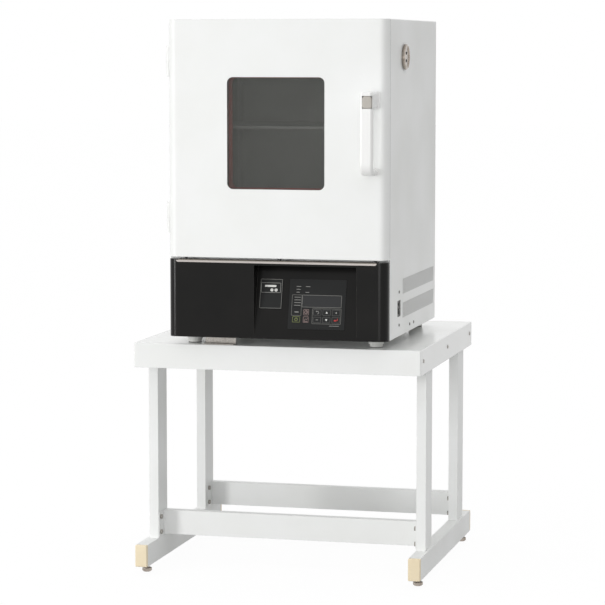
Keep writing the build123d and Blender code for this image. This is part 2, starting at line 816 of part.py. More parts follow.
with BuildPart() as temperature_sensor:
    with BuildSketch(oven_front(liner_back_depth + sensor_tail)):
        with Locations(sensor_place):
            Circle(sensor_radius)
    extrude(amount=sensor_tail + sensor_reach)
    tip = temperature_sensor.faces().sort_by(Axis.Y)[0]
    fillet(tip.edges(), sensor_tip_round)
save(temperature_sensor, "temperature_sensor")

gasket_inner_width = chamber_width + 2 * gasket_inset
gasket_inner_height = chamber_height + 2 * gasket_inset
gasket_outer_width = gasket_inner_width + 2 * gasket_width
gasket_outer_height = gasket_inner_height + 2 * gasket_width
gasket_front = inner_panel + slip_gap
with BuildPart() as door_gasket:
    with BuildSketch(oven_front(frame_front - seat_gap)):
        with Locations((0, chamber_middle)):
            RectangleRounded(gasket_outer_width, gasket_outer_height, gasket_width)
            Rectangle(gasket_inner_width, gasket_inner_height, mode=Mode.SUBTRACT)
    extrude(amount=frame_front - seat_gap - gasket_front)
save(door_gasket, "door_gasket")

with BuildPart() as strike_plate:
    strike_front = frame_back + seat_gap
    strike_y = (strike_front, strike_front + strike_sheet)
    block(strike_x, strike_y, strike_z)
    block(slot_x, strike_y, slot_z, mode=Mode.SUBTRACT)
save(strike_plate, "strike_plate")

with BuildPart() as cable_gland:
    gland_face = oven_depth + seat_gap
    gland_steps = (
        (gland_flange, -gland_flange_height),
        (gland_radius, -gland_flange_height - gland_nose),
        (gland_radius, gland_inside + seat_gap),
    )
    for radius, reach in gland_steps:
        with BuildSketch(oven_front(gland_face)):
            with Locations((gland_x, gland_level)):
                Circle(radius)
        extrude(amount=reach)
    bore_depth = gland_flange_height + gland_nose + gland_inside
    drill(oven_front(gland_face), [(gland_x, gland_level)], gland_bore, bore_depth)
save(cable_gland, "cable_gland")

# Exhaust port with its windowed end plate, and the dial that shuts it


def cut_windows(face_x, turn, depth):
    """Two opposite ring sectors, turned by an angle, cut to the right from an upright plane."""
    half = radians(port_window_angle / 2)
    reach = 2 * port_window_outer
    with BuildSketch(oven_side(face_x)) as sectors:
        with Locations(port_place):
            with PolarLocations(0, 2, start_angle=turn):
                corner = (reach * cos(half), reach * sin(half))
                Polygon((0, 0), (corner[0], -corner[1]), corner, align=None)
            Circle(port_window_outer, mode=Mode.INTERSECT)
            Circle(port_window_inner, mode=Mode.SUBTRACT)
    extrude(sectors.sketch, amount=depth, mode=Mode.SUBTRACT)


port_end = case_half + seat_gap + port_flange_height
port_bore = port_outer - port_wall
with BuildPart() as exhaust_port:
    with BuildSketch(oven_side(chamber_half)):
        with Locations(port_place):
            Circle(port_outer)
    extrude(amount=port_end - chamber_half)
    with BuildSketch(oven_side(case_half + seat_gap)):
        with Locations(port_place):
            Circle(port_flange)
    extrude(amount=port_flange_height)
    with BuildSketch(oven_side(chamber_half)):
        with Locations(port_place):
            Circle(port_bore)
    extrude(amount=case_half - chamber_half, mode=Mode.SUBTRACT)
    cut_windows(case_half, 0, 2 * port_flange_height)
    with BuildSketch(oven_side(port_end)):
        with Locations(port_place):
            Circle(port_pin)
    extrude(amount=dial_height - dial_dish)
save(exhaust_port, "exhaust_port")

dial_back = port_end + slip_gap
with BuildPart() as damper_dial:
    dial_centre = oven_base + Vector(dial_back, port_depth_place, port_level)
    with BuildSketch(Plane(dial_centre, x_dir=(0, 1, 0), z_dir=(0, 0, -1))):
        with BuildLine():
            Polyline(
                (port_pin + pin_gap, dial_height - dial_dish),
                (port_pin + pin_gap, 0),
                (dial_radius, 0),
                (dial_radius, dial_height - dial_rim),
            )
            rim_arc = (dial_radius - dial_rim * (1 - cos(pi / 4)), dial_height - dial_rim * (1 - sin(pi / 4)))
            ThreePointArc(
                (dial_radius, dial_height - dial_rim), rim_arc, (dial_radius - dial_rim, dial_height)
            )
            Polyline(
                (dial_radius - dial_rim, dial_height),
                (dial_dish_radius, dial_height - dial_dish),
                (port_pin + pin_gap, dial_height - dial_dish),
            )
        make_face()
    revolve(axis=Axis(dial_centre, (1, 0, 0)))
    cut_windows(dial_back, 90, dial_height)
save(damper_dial, "damper_dial")

# Fascia: a moulded panel with a slanted console in a well

console_plane = Plane(
    oven_base + Vector(0, 0, console_bottom), x_dir=(1, 0, 0), z_dir=(0, -cos(slope), sin(slope))
)


def slope_depth(height, offset=0.0):
    """Depth of the console's surface at a height, moved behind it by an offset."""
    return (height - console_bottom) * tan(slope) + offset / cos(slope)


fascia_top = case_bottom + fascia_height
strip_top = fascia_top - strip_drop
strip_bottom = strip_top - strip_height
strip_left = strip_offset - strip_half_width
strip_right = strip_offset + strip_half_width
strip_seat = fascia_wall / 2
with BuildPart() as fascia:
    with BuildSketch(oven_level(case_bottom)) as outline:
        with Locations((0, door_thickness / 2)):
            Rectangle(oven_width, door_thickness)
        fillet(outline.vertices().group_by(Axis.Y)[0], corner_radius)
    extrude(amount=fascia_height)
    with BuildSketch(oven_level(case_bottom + fascia_wall)) as inside:
        with Locations((0, (fascia_wall + door_thickness) / 2)):
            Rectangle(oven_width - 2 * fascia_wall, door_thickness - fascia_wall)
        fillet(inside.vertices().group_by(Axis.Y)[0], corner_radius - fascia_wall)
    extrude(amount=fascia_height - 2 * fascia_wall, mode=Mode.SUBTRACT)
    low = console_bottom - fascia_wall
    high = console_top + fascia_wall
    with BuildSketch(oven_side(well_left - fascia_wall)):
        with BuildLine():
            Polyline(
                (fascia_wall / 2, low),
                (slope_depth(low, fascia_wall), low),
                (slope_depth(high, fascia_wall), high),
                (fascia_wall / 2, high),
                close=True,
            )
        make_face()
    extrude(amount=well_right - well_left + 2 * fascia_wall)
    with BuildSketch(oven_side(well_left)):
        with BuildLine():
            Polyline(
                (-fascia_wall, console_bottom),
                (0, console_bottom),
                (slope_depth(console_top), console_top),
                (-fascia_wall, console_top),
                close=True,
            )
        make_face()
    extrude(amount=well_right - well_left, mode=Mode.SUBTRACT)
    cutouts = (
        (protector_x, protector_v, protector_width - 2 * protector_lip, protector_height - 2 * protector_lip),
        (controller_x, controller_v, controller_width - 2 * controller_lip,
         controller_height - 2 * controller_lip),
    )
    with BuildSketch(console_plane):
        for x, v, width, height in cutouts:
            with Locations((x, v)):
                Rectangle(width + 2 * slip_gap, height + 2 * slip_gap)
    extrude(amount=-2 * fascia_wall, mode=Mode.SUBTRACT)
    boss_places = [
        (side * (case_half - fascia_boss_inset), height)
        for side in (-1, 1)
        for height in (case_bottom + fascia_boss_inset, fascia_top - fascia_boss_inset)
    ]
    with BuildSketch(oven_front(strip_seat)):
        with Locations(*boss_places):
            Circle(fascia_boss)
    extrude(amount=-(frame_front - slip_gap - strip_seat))
    groove_x = (strip_left - slip_gap, strip_right + slip_gap)
    groove_z = (strip_bottom - slip_gap, strip_top + slip_gap)
    block(groove_x, (-fascia_wall, strip_seat), groove_z, mode=Mode.SUBTRACT)
save(fascia, "fascia")

with BuildPart() as trim_strip:
    with BuildSketch(oven_front(strip_seat - seat_gap)):
        with BuildLine():
            Polyline(
                (strip_left, strip_top),
                (strip_right, strip_top),
                (strip_right - strip_mitre, strip_bottom),
                (strip_left + strip_mitre, strip_bottom),
                close=True,
            )
        make_face()
    extrude(amount=strip_seat - seat_gap + strip_proud)
save(trim_strip, "trim_strip")

# Overheat protector and controller, set in the console's slope


def module(x, v, width, height, proud, lip, body_depth, corner):
    """Bezel on the slope with a narrower body behind it."""
    with BuildSketch(console_plane.offset(seat_gap)) as bezel:
        with Locations((x, v)):
            RectangleRounded(width, height, corner)
    extrude(bezel.sketch, amount=proud - seat_gap)
    with BuildSketch(console_plane.offset(seat_gap)) as body:
        with Locations((x, v)):
            Rectangle(width - 2 * lip, height - 2 * lip)
    extrude(body.sketch, amount=-body_depth)


key_pocket = key_thickness - key_proud + key_travel + 2 * seat_gap
with BuildPart() as protector_module:
    module(protector_x, protector_v, protector_width, protector_height, protector_proud,
           protector_lip, protector_body_depth, controller_corner)
    with BuildSketch(console_plane.offset(protector_proud)):
        with Locations(*[(x, protector_key_v) for x in protector_key_x]):
            Circle(protector_key_radius + slip_gap)
    extrude(amount=-key_pocket, mode=Mode.SUBTRACT)
save(protector_module, "protector_module")

for x, word in zip(protector_key_x, ("down", "up")):
    with BuildPart() as protector_key:
        with BuildSketch(console_plane.offset(protector_proud + key_proud)):
            with Locations((x, protector_key_v)):
                Circle(protector_key_radius)
        extrude(amount=-key_thickness)
    save(protector_key, f"protector_key_{word}")

key_names = (
    ("key_menu", "key_timer", "key_back", "key_up", "key_left"),
    ("key_power", "key_memory", "key_clear", "key_down", "key_enter"),
)
key_height = key_pitch_v - 2 * key_border
keys = [
    (name, column_x, column_width - 2 * key_border, row_v)
    for row_v, names in zip(key_rows, key_names)
    for (column_x, column_width), name in zip(key_columns, names)
]
with BuildPart() as controller_module:
    module(controller_x, controller_v, controller_width, controller_height, controller_proud,
           controller_lip, controller_body_depth, controller_corner)
    with BuildSketch(console_plane.offset(controller_proud)):
        for name, x, width, v in keys:
            with Locations((x, v)):
                RectangleRounded(width + 2 * slip_gap, key_height + 2 * slip_gap, key_corner + slip_gap)
    extrude(amount=-key_pocket, mode=Mode.SUBTRACT)
    with BuildSketch(console_plane.offset(controller_proud)):
        with Locations((display_x, display_v)):
            Rectangle(display_width + 2 * seat_gap, display_height + 2 * seat_gap)
    extrude(amount=-(display_thickness + seat_gap), mode=Mode.SUBTRACT)
save(controller_module, "controller_module")

with BuildPart() as display_window:
    with BuildSketch(console_plane.offset(controller_proud)):
        with Locations((display_x, display_v)):
            Rectangle(display_width, display_height)
    extrude(amount=-display_thickness)
save(display_window, "display_window")

for name, x, width, v in keys:
    with BuildPart() as key:
        with BuildSketch(console_plane.offset(controller_proud + key_proud)):
            with Locations((x, v)):
                RectangleRounded(width, key_height, key_corner)
        extrude(amount=-key_thickness)
    save(key, name)

# Breaker in the right side, with its rocker

breaker_face = case_half - breaker_recess
rocker_x = breaker_face - rocker_radius + rocker_lever / 2
with BuildPart() as breaker_body:
    body_half_y = breaker_width / 2 - slip_gap
    body_half_z = breaker_height / 2 - slip_gap
    body_y = (breaker_depth_place - body_half_y, breaker_depth_place + body_half_y)
    body_z = (breaker_level - body_half_z, breaker_level + body_half_z)
    block((breaker_face - breaker_body_depth, breaker_face), body_y, body_z)
    ear_face = case_half - case_sheet - seat_gap
    ear_half = breaker_screw_spacing / 2 + breaker_ear_end
    ear_z = (breaker_level - ear_half, breaker_level + ear_half)
    block((ear_face - breaker_ear_sheet, ear_face), body_y, ear_z)
    block((breaker_face, case_half), body_y, body_z, mode=Mode.SUBTRACT)
    well_half = rocker_width / 2 + slip_gap
    well_y = (breaker_depth_place - well_half, breaker_depth_place + well_half)
    well_reach = rocker_radius + rocker_slack
    well_x = (rocker_x - rocker_radius - slip_gap, case_half)
    well_z = (breaker_level - well_reach, breaker_level + well_reach)
    block(well_x, well_y, well_z, mode=Mode.SUBTRACT)
    drill(oven_side(ear_face), breaker_places, case_screw_radius + seat_gap, 2 * breaker_ear_sheet)
save(breaker_body, "breaker_body")

with BuildPart() as breaker_rocker:
    rocker_centre = oven_base + Vector(rocker_x, breaker_depth_place + rocker_width / 2, breaker_level)
    with BuildSketch(Plane(rocker_centre, x_dir=(1, 0, 0), z_dir=(0, -1, 0))):
        Circle(rocker_radius)
        with Locations(Rot(0, 0, -rocker_travel / 2)):
            with Locations((rocker_radius / 2 + rocker_lever / 2, 0)):
                Rectangle(rocker_radius + rocker_lever, rocker_lever_height)
    extrude(amount=rocker_width)
save(breaker_rocker, "breaker_rocker")

# Screws of the case

with BuildPart() as cabinet_screws:
    right = oven_side(case_half)
    left = Plane(oven_base + Vector(-case_half, 0, 0), x_dir=(0, -1, 0), z_dir=(-1, 0, 0))
    rear = Plane(oven_base + Vector(0, oven_depth, 0), x_dir=(-1, 0, 0), z_dir=(0, 1, 0))
    screw_size = (case_screw_head, case_screw_head_height, case_screw_radius, case_screw_length)
    for place in breaker_places:
        screw(right, place, *screw_size)
    for depth in low_screw_depths:
        screw(right, (depth, low_screw_level), *screw_size)
        screw(left, (-depth, low_screw_level), *screw_size)
    for x, height in back_screw_places:
        screw(rear, (-x, height), *screw_size)
save(cabinet_screws, "cabinet_screws")

# Door: outer shell, inner liner with its plug, insulation and double window


def door_outline(inset, back):
    """Plan outline of the door, front corners rounded, moved inwards by an inset."""
    with BuildSketch(oven_level(door_bottom + inset)) as plan:
        with Locations((0, (inset + back) / 2)):
            Rectangle(oven_width - 2 * inset, back - inset)
        fillet(plan.vertices().group_by(Axis.Y)[0], corner_radius - inset)
    return plan.sketch


window_height = chamber_height - window_sill - window_head
window_centre = (window_x, chamber_level + window_sill + window_height / 2)
stem_place = (handle_x + button_right, button_level)
with BuildPart() as door_shell:
    extrude(door_outline(0, door_thickness), amount=case_top - door_bottom)
    rims = door_shell.faces().filter_by(Axis.Z).edges().filter_by(Plane.XY)
    front_edges = [e for e in rims if e.center().Y < oven_front_y + door_thickness - door_rim]
    fillet(front_edges, door_edge)
    inside = door_outline(door_sheet, door_thickness)
    extrude(inside, amount=case_top - door_bottom - 2 * door_sheet, mode=Mode.SUBTRACT)
    with BuildSketch(oven_front(0)):
        with Locations(window_centre):
            RectangleRounded(window_width, window_height, window_corner)
    extrude(amount=-2 * door_sheet, mode=Mode.SUBTRACT)
    drill(oven_front(0), [stem_place], button_stem + slip_gap, 2 * door_sheet)
save(door_shell, "door_shell")

tunnel_width = window_width + 2 * tunnel_margin
tunnel_height = window_height + 2 * tunnel_margin
glass_back = door_sheet + seat_gap + glass_thickness
plug_half = chamber_half - plug_margin
seal_hole_width = window_width - seal_lip
seal_hole_height = window_height - seal_lip
seal_hole_corner = window_corner - seal_lip / 2
with BuildPart() as door_liner:
    sheet = liner_sheet
    panel_half = case_half - door_sheet - seat_gap
    panel_z = (door_bottom + door_sheet + seat_gap, case_top - door_sheet - seat_gap)
    block((-panel_half, panel_half), (inner_panel - sheet, inner_panel), panel_z)
    plug_z = (chamber_level + plug_margin, chamber_top - plug_margin)
    block((-plug_half, plug_half), (inner_panel - sheet, plug_end), plug_z)
    hollow_half = plug_half - sheet
    hollow_z = (plug_z[0] + sheet, plug_z[1] - sheet)
    block((-hollow_half, hollow_half), (inner_panel - sheet, plug_end - sheet), hollow_z, mode=Mode.SUBTRACT)
    with BuildSketch(oven_front(plug_end)):
        with Locations(window_centre):
            Rectangle(tunnel_width + 2 * sheet, tunnel_height + 2 * sheet)
    extrude(amount=plug_end - glass_back - seat_gap)
    with BuildSketch(oven_front(plug_end - sheet)):
        with Locations(window_centre):
            Rectangle(tunnel_width, tunnel_height)
    extrude(amount=plug_end, mode=Mode.SUBTRACT)
    with BuildSketch(oven_front(plug_end)):
        with Locations(window_centre):
            RectangleRounded(seal_hole_width, seal_hole_height, seal_hole_corner)
    extrude(amount=2 * sheet, mode=Mode.SUBTRACT)
    block(slot_x, (inner_panel - sheet, inner_panel), slot_z, mode=Mode.SUBTRACT)
save(door_liner, "door_liner")

with BuildPart() as outer_glass:
    with BuildSketch(oven_front(door_sheet + seat_gap)):
        with Locations(window_centre):
            RectangleRounded(
                window_width + 2 * outer_glass_overlap,
                window_height + 2 * outer_glass_overlap,
                window_corner,
            )
    extrude(amount=-glass_thickness)
save(outer_glass, "outer_glass")

seal_outer_width = tunnel_width - 2 * seat_gap
seal_outer_height = tunnel_height - 2 * seat_gap
pane_width = seal_hole_width + 2 * inner_glass_overlap
pane_height = seal_hole_height + 2 * inner_glass_overlap
seal_back_depth = plug_end - liner_sheet - seat_gap
pane_back = seal_back_depth - seal_back
with BuildPart() as window_seal:
    with BuildSketch(oven_front(seal_back_depth)):
        with Locations(window_centre):
            Rectangle(seal_outer_width, seal_outer_height)
            RectangleRounded(seal_hole_width, seal_hole_height, seal_hole_corner, mode=Mode.SUBTRACT)
    extrude(amount=seal_back + glass_thickness + seal_front)
    with BuildSketch(oven_front(pane_back + seat_gap / 2)):
        with Locations(window_centre):
            Rectangle(pane_width + seat_gap, pane_height + seat_gap)
    extrude(amount=glass_thickness + seat_gap, mode=Mode.SUBTRACT)
save(window_seal, "window_seal")

with BuildPart() as inner_glass:
    with BuildSketch(oven_front(pane_back)):
        with Locations(window_centre):
            Rectangle(pane_width, pane_height)
    extrude(amount=glass_thickness)
save(inner_glass, "inner_glass")

bar_left = handle_x + button_right - latch_bar_reach
bar_right = latch_x + latch_tongue_width / 2
with BuildPart() as door_insulation:
    fill = door_sheet + insulation_gap
    padding = door_outline(fill, inner_panel - liner_sheet - insulation_gap)
    extrude(padding, amount=case_top - door_bottom - 2 * fill)
    core_half = hollow_half - insulation_gap
    core_y = (inner_panel - door_rim, plug_end - liner_sheet - insulation_gap)
    core_z = (hollow_z[0] + insulation_gap, hollow_z[1] - insulation_gap)
    block((-core_half, core_half), core_y, core_z)
    with BuildSketch(oven_front(plug_end)):
        with Locations(window_centre):
            Rectangle(
                tunnel_width + 2 * (liner_sheet + insulation_gap),
                tunnel_height + 2 * (liner_sheet + insulation_gap),
            )
    extrude(amount=plug_end, mode=Mode.SUBTRACT)
    with BuildSketch(oven_front(0)):
        with Locations(window_centre):
            Rectangle(
                window_width + 2 * (outer_glass_overlap + insulation_gap),
                window_height + 2 * (outer_glass_overlap + insulation_gap),
            )
    extrude(amount=-(glass_back + insulation_gap), mode=Mode.SUBTRACT)
    room_x = (bar_left - latch_room, bar_right + latch_room)
    room_z = (slot_z[0] - latch_room, slot_z[1] + latch_room)
    block(room_x, (0, door_thickness), room_z, mode=Mode.SUBTRACT)
save(door_insulation, "door_insulation")

# Handle with its thumb button, and the latch that the button lifts

with BuildPart() as door_handle:
    handle_left = handle_x - handle_width / 2
    with BuildSketch(oven_side(handle_left)) as bow:
        with Locations((-handle_reach / 2, (handle_bottom + handle_top) / 2)):
            Rectangle(handle_reach, handle_top - handle_bottom)
        low_corner, high_corner = bow.vertices().group_by(Axis.X)[0].sort_by(Axis.Y)
        fillet(low_corner, handle_bottom_round)
        fillet(high_corner, handle_top_round)
        gap_low = handle_bottom + handle_lower_arm
        gap_high = handle_top - handle_upper_arm
        gap_front = handle_reach - handle_grip
        with Locations(((handle_gap_round - gap_front) / 2, (gap_low + gap_high) / 2)):
            RectangleRounded(gap_front + handle_gap_round, gap_high - gap_low, handle_gap_round,
                             mode=Mode.SUBTRACT)
    extrude(amount=handle_width)
    outside = oven_front_y - slip_gap
    softened = [e for e in door_handle.edges().filter_by(Axis.X, reverse=True) if e.center().Y < outside]
    fillet(softened, handle_edge_round)
    with BuildSketch(oven_front(0)):
        for low, high in ((handle_bottom, gap_low), (gap_high, handle_top)):
            with Locations((handle_x, (low + high) / 2)):
                RectangleRounded(handle_width + 2 * handle_flare, high - low, handle_flare)
    extrude(amount=handle_flare_height)
    pocket_floor = handle_reach - button_thickness - button_travel - seat_gap
    with BuildSketch(oven_front(-pocket_floor)):
        with Locations(stem_place):
            Rectangle(button_width + 2 * slip_gap, button_height + 2 * slip_gap)
    extrude(amount=handle_reach, mode=Mode.SUBTRACT)
    drill(oven_front(-pocket_floor / 2), [stem_place], button_stem + slip_gap, pocket_floor)
save(door_handle, "door_handle")

with BuildPart() as handle_button:
    button_back = handle_reach - button_thickness
    with BuildSketch(oven_front(-button_back)) as thumb:
        with Locations(stem_place):
            Rectangle(button_width, button_height)
        corners = thumb.vertices().group_by(Axis.Y)
        fillet(corners[-1], button_round)
        fillet(thumb.vertices().group_by(Axis.Y)[0], button_corner)
    extrude(amount=button_thickness + button_proud)
    fillet(handle_button.faces().sort_by(Axis.Y)[0].edges(), button_edge_round)
    with BuildSketch(oven_front(-button_back)):
        with Locations(stem_place):
            Circle(button_stem)
    extrude(amount=-(button_back + button_stem_end))
save(handle_button, "handle_button")

with BuildPart() as latch_tongue:
    bar_front = latch_bar_depth + button_travel
    bar_y = (bar_front, bar_front + latch_bar_thickness)
    bar_z = (button_level - latch_bar_height / 2, button_level + latch_bar_height / 2)
    block((bar_left, bar_right), bar_y, bar_z)
    tongue_x = (bar_right - latch_tongue_width, bar_right)
    tongue_z = (button_level - latch_tongue_height / 2, button_level + latch_tongue_height / 2)
    block(tongue_x, (bar_front, latch_tongue_end), tongue_z)
    nose_y = (latch_tongue_end - latch_nose, latch_tongue_end)
    block(tongue_x, nose_y, (tongue_z[0] - latch_nose, tongue_z[1]))
save(latch_tongue, "latch_tongue")

# Hinges: the lower half of each is on the case with the pin, the upper half is on the door

hinge_x = -(case_half + hinge_clear + hinge_radius)
hinge_depth = case_front + hinge_lag
knuckle = (hinge_height - slip_gap) / 2
hinge_levels = (door_bottom + hinge_low, case_top - hinge_high)
leaf_x = (-(case_half + seat_gap + hinge_leaf), -(case_half + seat_gap))
with BuildPart() as hinge_brackets:
    for level in hinge_levels:
        with BuildSketch(oven_level(level)):
            with Locations((hinge_x, hinge_depth)):
                Circle(hinge_radius)
        extrude(amount=knuckle)
        block(leaf_x, (hinge_depth, hinge_depth + hinge_case_leaf), (level, level + knuckle))
        with BuildSketch(oven_level(level + knuckle)):
            with Locations((hinge_x, hinge_depth)):
                Circle(hinge_pin)
        extrude(amount=knuckle - hinge_cap)
save(hinge_brackets, "hinge_brackets")

with BuildPart() as hinge_barrels:
    for level in hinge_levels:
        upper = level + knuckle + slip_gap
        with BuildSketch(oven_level(upper)):
            with Locations((hinge_x, hinge_depth)):
                Circle(hinge_radius)
        extrude(amount=knuckle)
        block(leaf_x, (hinge_depth - hinge_door_leaf, hinge_depth), (upper, upper + knuckle))
        with BuildSketch(oven_level(upper)):
            with Locations((hinge_x, hinge_depth)):
                Circle(hinge_pin + pin_gap)
        extrude(amount=knuckle - hinge_cap, mode=Mode.SUBTRACT)
save(hinge_barrels, "hinge_barrels")
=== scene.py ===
# %% [markdown]
# # A laboratory drying oven on its steel stand
#
# The maker's CAD model is loaded as a fixed frame: every sheet, hinge, key and foot of it stays where it is.
# This lesson dresses that frame. The camera comes first, then the finishes, one for each stuff that the real
# object is made of. After them come the small pieces that CAD leaves out, such as the printing on the panel,
# the crosses in the screws and the threads of the feet. The floor and the light come last.

# %% Load the frame
from math import cos, pi, radians, sin

import bmesh
import bpy
import numpy as np
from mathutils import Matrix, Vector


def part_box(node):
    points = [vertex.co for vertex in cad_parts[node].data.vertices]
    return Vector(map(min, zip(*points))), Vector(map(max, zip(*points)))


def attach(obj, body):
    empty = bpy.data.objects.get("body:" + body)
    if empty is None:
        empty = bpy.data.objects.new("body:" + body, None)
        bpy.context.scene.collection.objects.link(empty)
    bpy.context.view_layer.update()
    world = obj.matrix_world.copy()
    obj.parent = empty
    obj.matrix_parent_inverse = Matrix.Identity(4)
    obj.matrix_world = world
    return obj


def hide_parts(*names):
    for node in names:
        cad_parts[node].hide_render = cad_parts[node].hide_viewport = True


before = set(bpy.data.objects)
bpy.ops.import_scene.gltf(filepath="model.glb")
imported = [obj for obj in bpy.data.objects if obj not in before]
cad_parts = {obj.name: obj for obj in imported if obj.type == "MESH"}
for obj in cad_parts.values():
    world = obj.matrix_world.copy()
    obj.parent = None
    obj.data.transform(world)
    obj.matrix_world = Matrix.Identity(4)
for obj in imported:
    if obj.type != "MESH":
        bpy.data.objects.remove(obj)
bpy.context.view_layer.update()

scene = bpy.context.scene

# %% [markdown]
# ## Where things are
#
# Drawings of such an oven count from the middle of its front, so a few corners of the CAD are read first.
# Nearly every piece below is drawn flat, in millimetres, on one face of the object: so far to the right, so
# far up, and so far out. A face is an origin and three directions, and one function lays a drawing on it.

# %% Faces to draw on
mm = 0.001
door_low, door_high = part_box("door_shell")
case_low, case_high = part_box("cabinet_shell")
oven_x = (case_low.x + case_high.x) / 2
oven_front = door_low.y
oven_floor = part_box("stand_top")[1].z
console_rise = 31 * mm
console_tilt = radians(14)

CONSOLE = (
    (oven_x, oven_front, oven_floor + console_rise),
    (1, 0, 0),
    (0, sin(console_tilt), cos(console_tilt)),
    (0, -cos(console_tilt), sin(console_tilt)),
)


def upright(x, y, z):
    """A face that looks to the front, with its origin at a point."""
    return (x, y, z), (1, 0, 0), (0, 0, 1), (0, -1, 0)


def level(x, y, z):
    """A face that looks up, with its origin at a point."""
    return (x, y, z), (1, 0, 0), (0, 1, 0), (0, 0, 1)


def lay_on(face, drawn):
    """Origin of the face plus the drawing's three numbers, in mm, times the face's three directions."""
    origin, right, up, out = (np.array(part, float) for part in face)
    return origin + mm * (drawn @ np.array([right, up, out]))


PLAN = level(0, 0, 0)
measured = [round(value / mm, 1) for value in (oven_x, oven_front, oven_floor)]
print("the oven's middle, front and floor in mm:", measured)

# %% [markdown]
# ## The camera
#
# The photographer stood about six metres away, a little to the right of the oven, with a long lens, so the
# upright edges stay nearly parallel. The lens is as high as the oven's upper part and looks slightly down.

# %% Camera
looks_down, turned_left = 0.1004, 0.248
camera = bpy.data.objects.new("camera", bpy.data.cameras.new("camera"))
camera.data.sensor_width = 36
camera.data.lens = 147.95
camera.location = (1.6303, -6.4599, 1.3726)
camera.rotation_euler = (pi / 2 - looks_down, 0, turned_left)
scene.collection.objects.link(camera)
scene.camera = camera
print("camera with a lens of", camera.data.lens, "mm")

# %% [markdown]
# ## The paint box
#
# A finish is a material made of nodes. The real surfaces are never one flat colour: powder paint has an
# orange peel, sheet metal has brush lines, plastic has a fine mould grain, and bent edges catch the light.
# The patterns are noise on Object coordinates, so they stay on the piece when the piece moves. The class
# below keeps the wiring short: nearly every helper returns the socket that the next one takes.

# %% Colours as seen on the screen
def paint(red, green, blue):
    """Screen colour from 0 to 255 as linear shares: the usual curve, a power of 2.4 above the dark end."""
    shares = np.array((red, green, blue)) / 255
    linear = np.where(shares <= 0.04045, shares / 12.92, ((shares + 0.055) / 1.055) ** 2.4)
    return (*linear.tolist(), 1.0)


# %% The finish, a Principled shader and the patterns that feed it
class Finish:
    """A material in the making. Constant numbers go straight onto the shader's own sockets."""

    def __init__(self, name, **constants):
        """An empty material with its shader, its output and the place of a point on its object."""
        self.material = bpy.data.materials.new(name)
        self.material.use_nodes = True
        self.tree = self.material.node_tree
        self.tree.nodes.clear()
        self.shader = self.add("BsdfPrincipled")
        output = self.add("OutputMaterial")
        self.tree.links.new(self.shader.outputs[0], output.inputs["Surface"])
        self.place = self.add("TexCoord").outputs["Object"]
        for words, value in constants.items():
            self.shader.inputs[words.replace("_", " ")].default_value = value

    def add(self, kind, inputs=None, **settings):
        """Adds a node; a link goes into an input where another node's socket is given, else a number."""
        made = self.tree.nodes.new("ShaderNode" + kind)
        for setting, value in settings.items():
            setattr(made, setting, value)
        for key, value in (inputs or {}).items():
            if isinstance(value, bpy.types.NodeSocket):
                self.tree.links.new(value, made.inputs[key])
            else:
                made.inputs[key].default_value = value
        return made

    def feed(self, key, socket):
        """Links a socket into one of the shader's inputs."""
        self.tree.links.new(socket, self.shader.inputs[key])

    def grain(self, scale, stretch=(1, 1, 1), detail=3, warp=0):
        """Noise with so many grains a metre, drawn out along an axis where stretch is small."""
        placed = self.add("Mapping", {"Vector": self.place, "Scale": stretch}).outputs[0]
        wanted = {"Vector": placed, "Scale": scale, "Detail": detail, "Distortion": warp}
        return self.add("TexNoise", wanted).outputs["Fac"]

    def between(self, factor, low, high, start=0.35, stop=0.65):
        """A number that goes from low to high as the factor goes from start to stop."""
        wanted = {"Value": factor, "From Min": start, "From Max": stop, "To Min": low, "To Max": high}
        return self.add("MapRange", wanted).outputs[0]

    def maths(self, operation, first, second=0.0):
        """One sum, product or comparison of two numbers."""
        return self.add("Math", {0: first, 1: second}, operation=operation).outputs[0]

    def mix(self, factor, first, second):
        """First colour where the factor is 0, second where it is 1."""
        wanted = {0: factor, 6: first, 7: second}
        return self.add("Mix", wanted, data_type="RGBA").outputs[2]

    def rounded(self, radius):
        """The normal that the surface would have with its edges rounded to this radius."""
        return self.add("Bevel", {"Radius": radius}, samples=4).outputs[0]

    def edges(self, rounded):
        """1 on an edge and 0 away from it: how far the rounded normal leans from the true one; it places the
        painted edge tints.
        """
        true = self.add("NewGeometry").outputs["Normal"]
        lean = self.add("VectorMath", {0: rounded, 1: true}, operation="DOT_PRODUCT").outputs["Value"]
        return self.between(lean, 1, 0, start=0.80, stop=0.99)

    def relief(self, height, depth, normal):
        """The normal of a surface that a pattern lifts and lowers by so much."""
        wanted = {"Height": height, "Distance": depth, "Strength": 1.0, "Normal": normal}
        return self.add("Bump", wanted).outputs[0]


# %% [markdown]
# ## Paint and plastic
#
# Powder paint, moulded plastic and printed film are the same recipe with other numbers: two close colours in
# soft clouds, a finer grain that lifts and lowers the surface by some hundredths of a millimetre, gloss that
# wanders a little, and a tint on the edges that is partly wear and partly painted highlight, on the white
# paint a little painted shade. So one function makes them all. The walls of the case's vent slots get a grey
# that is painted shade, so the vents look darker.

# %% Painted shade in the vent slots
skin, case_wall, vents_top = 0.12 * mm, 3 * mm, 230 * mm


def vent_shade_mask(made):
    """1 where a point of the case lies under its skin and no higher than the vents, else 0: where the vent
    slots get their painted shade.
    """
    place = made.add("SeparateXYZ", {0: made.place}).outputs
    aside = made.maths("ABSOLUTE", made.maths("SUBTRACT", place["X"], oven_x))
    half = (case_high.x - case_low.x) / 2
    under = made.maths("LESS_THAN", aside, half - skin)
    in_wall = made.maths("GREATER_THAN", aside, half - case_wall)
    low = made.maths("LESS_THAN", place["Z"], oven_floor + vents_top)
    return made.maths("MULTIPLY", made.maths("MULTIPLY", under, in_wall), low)


# %% A recipe for painted and moulded surfaces
clouds_a_metre = 6


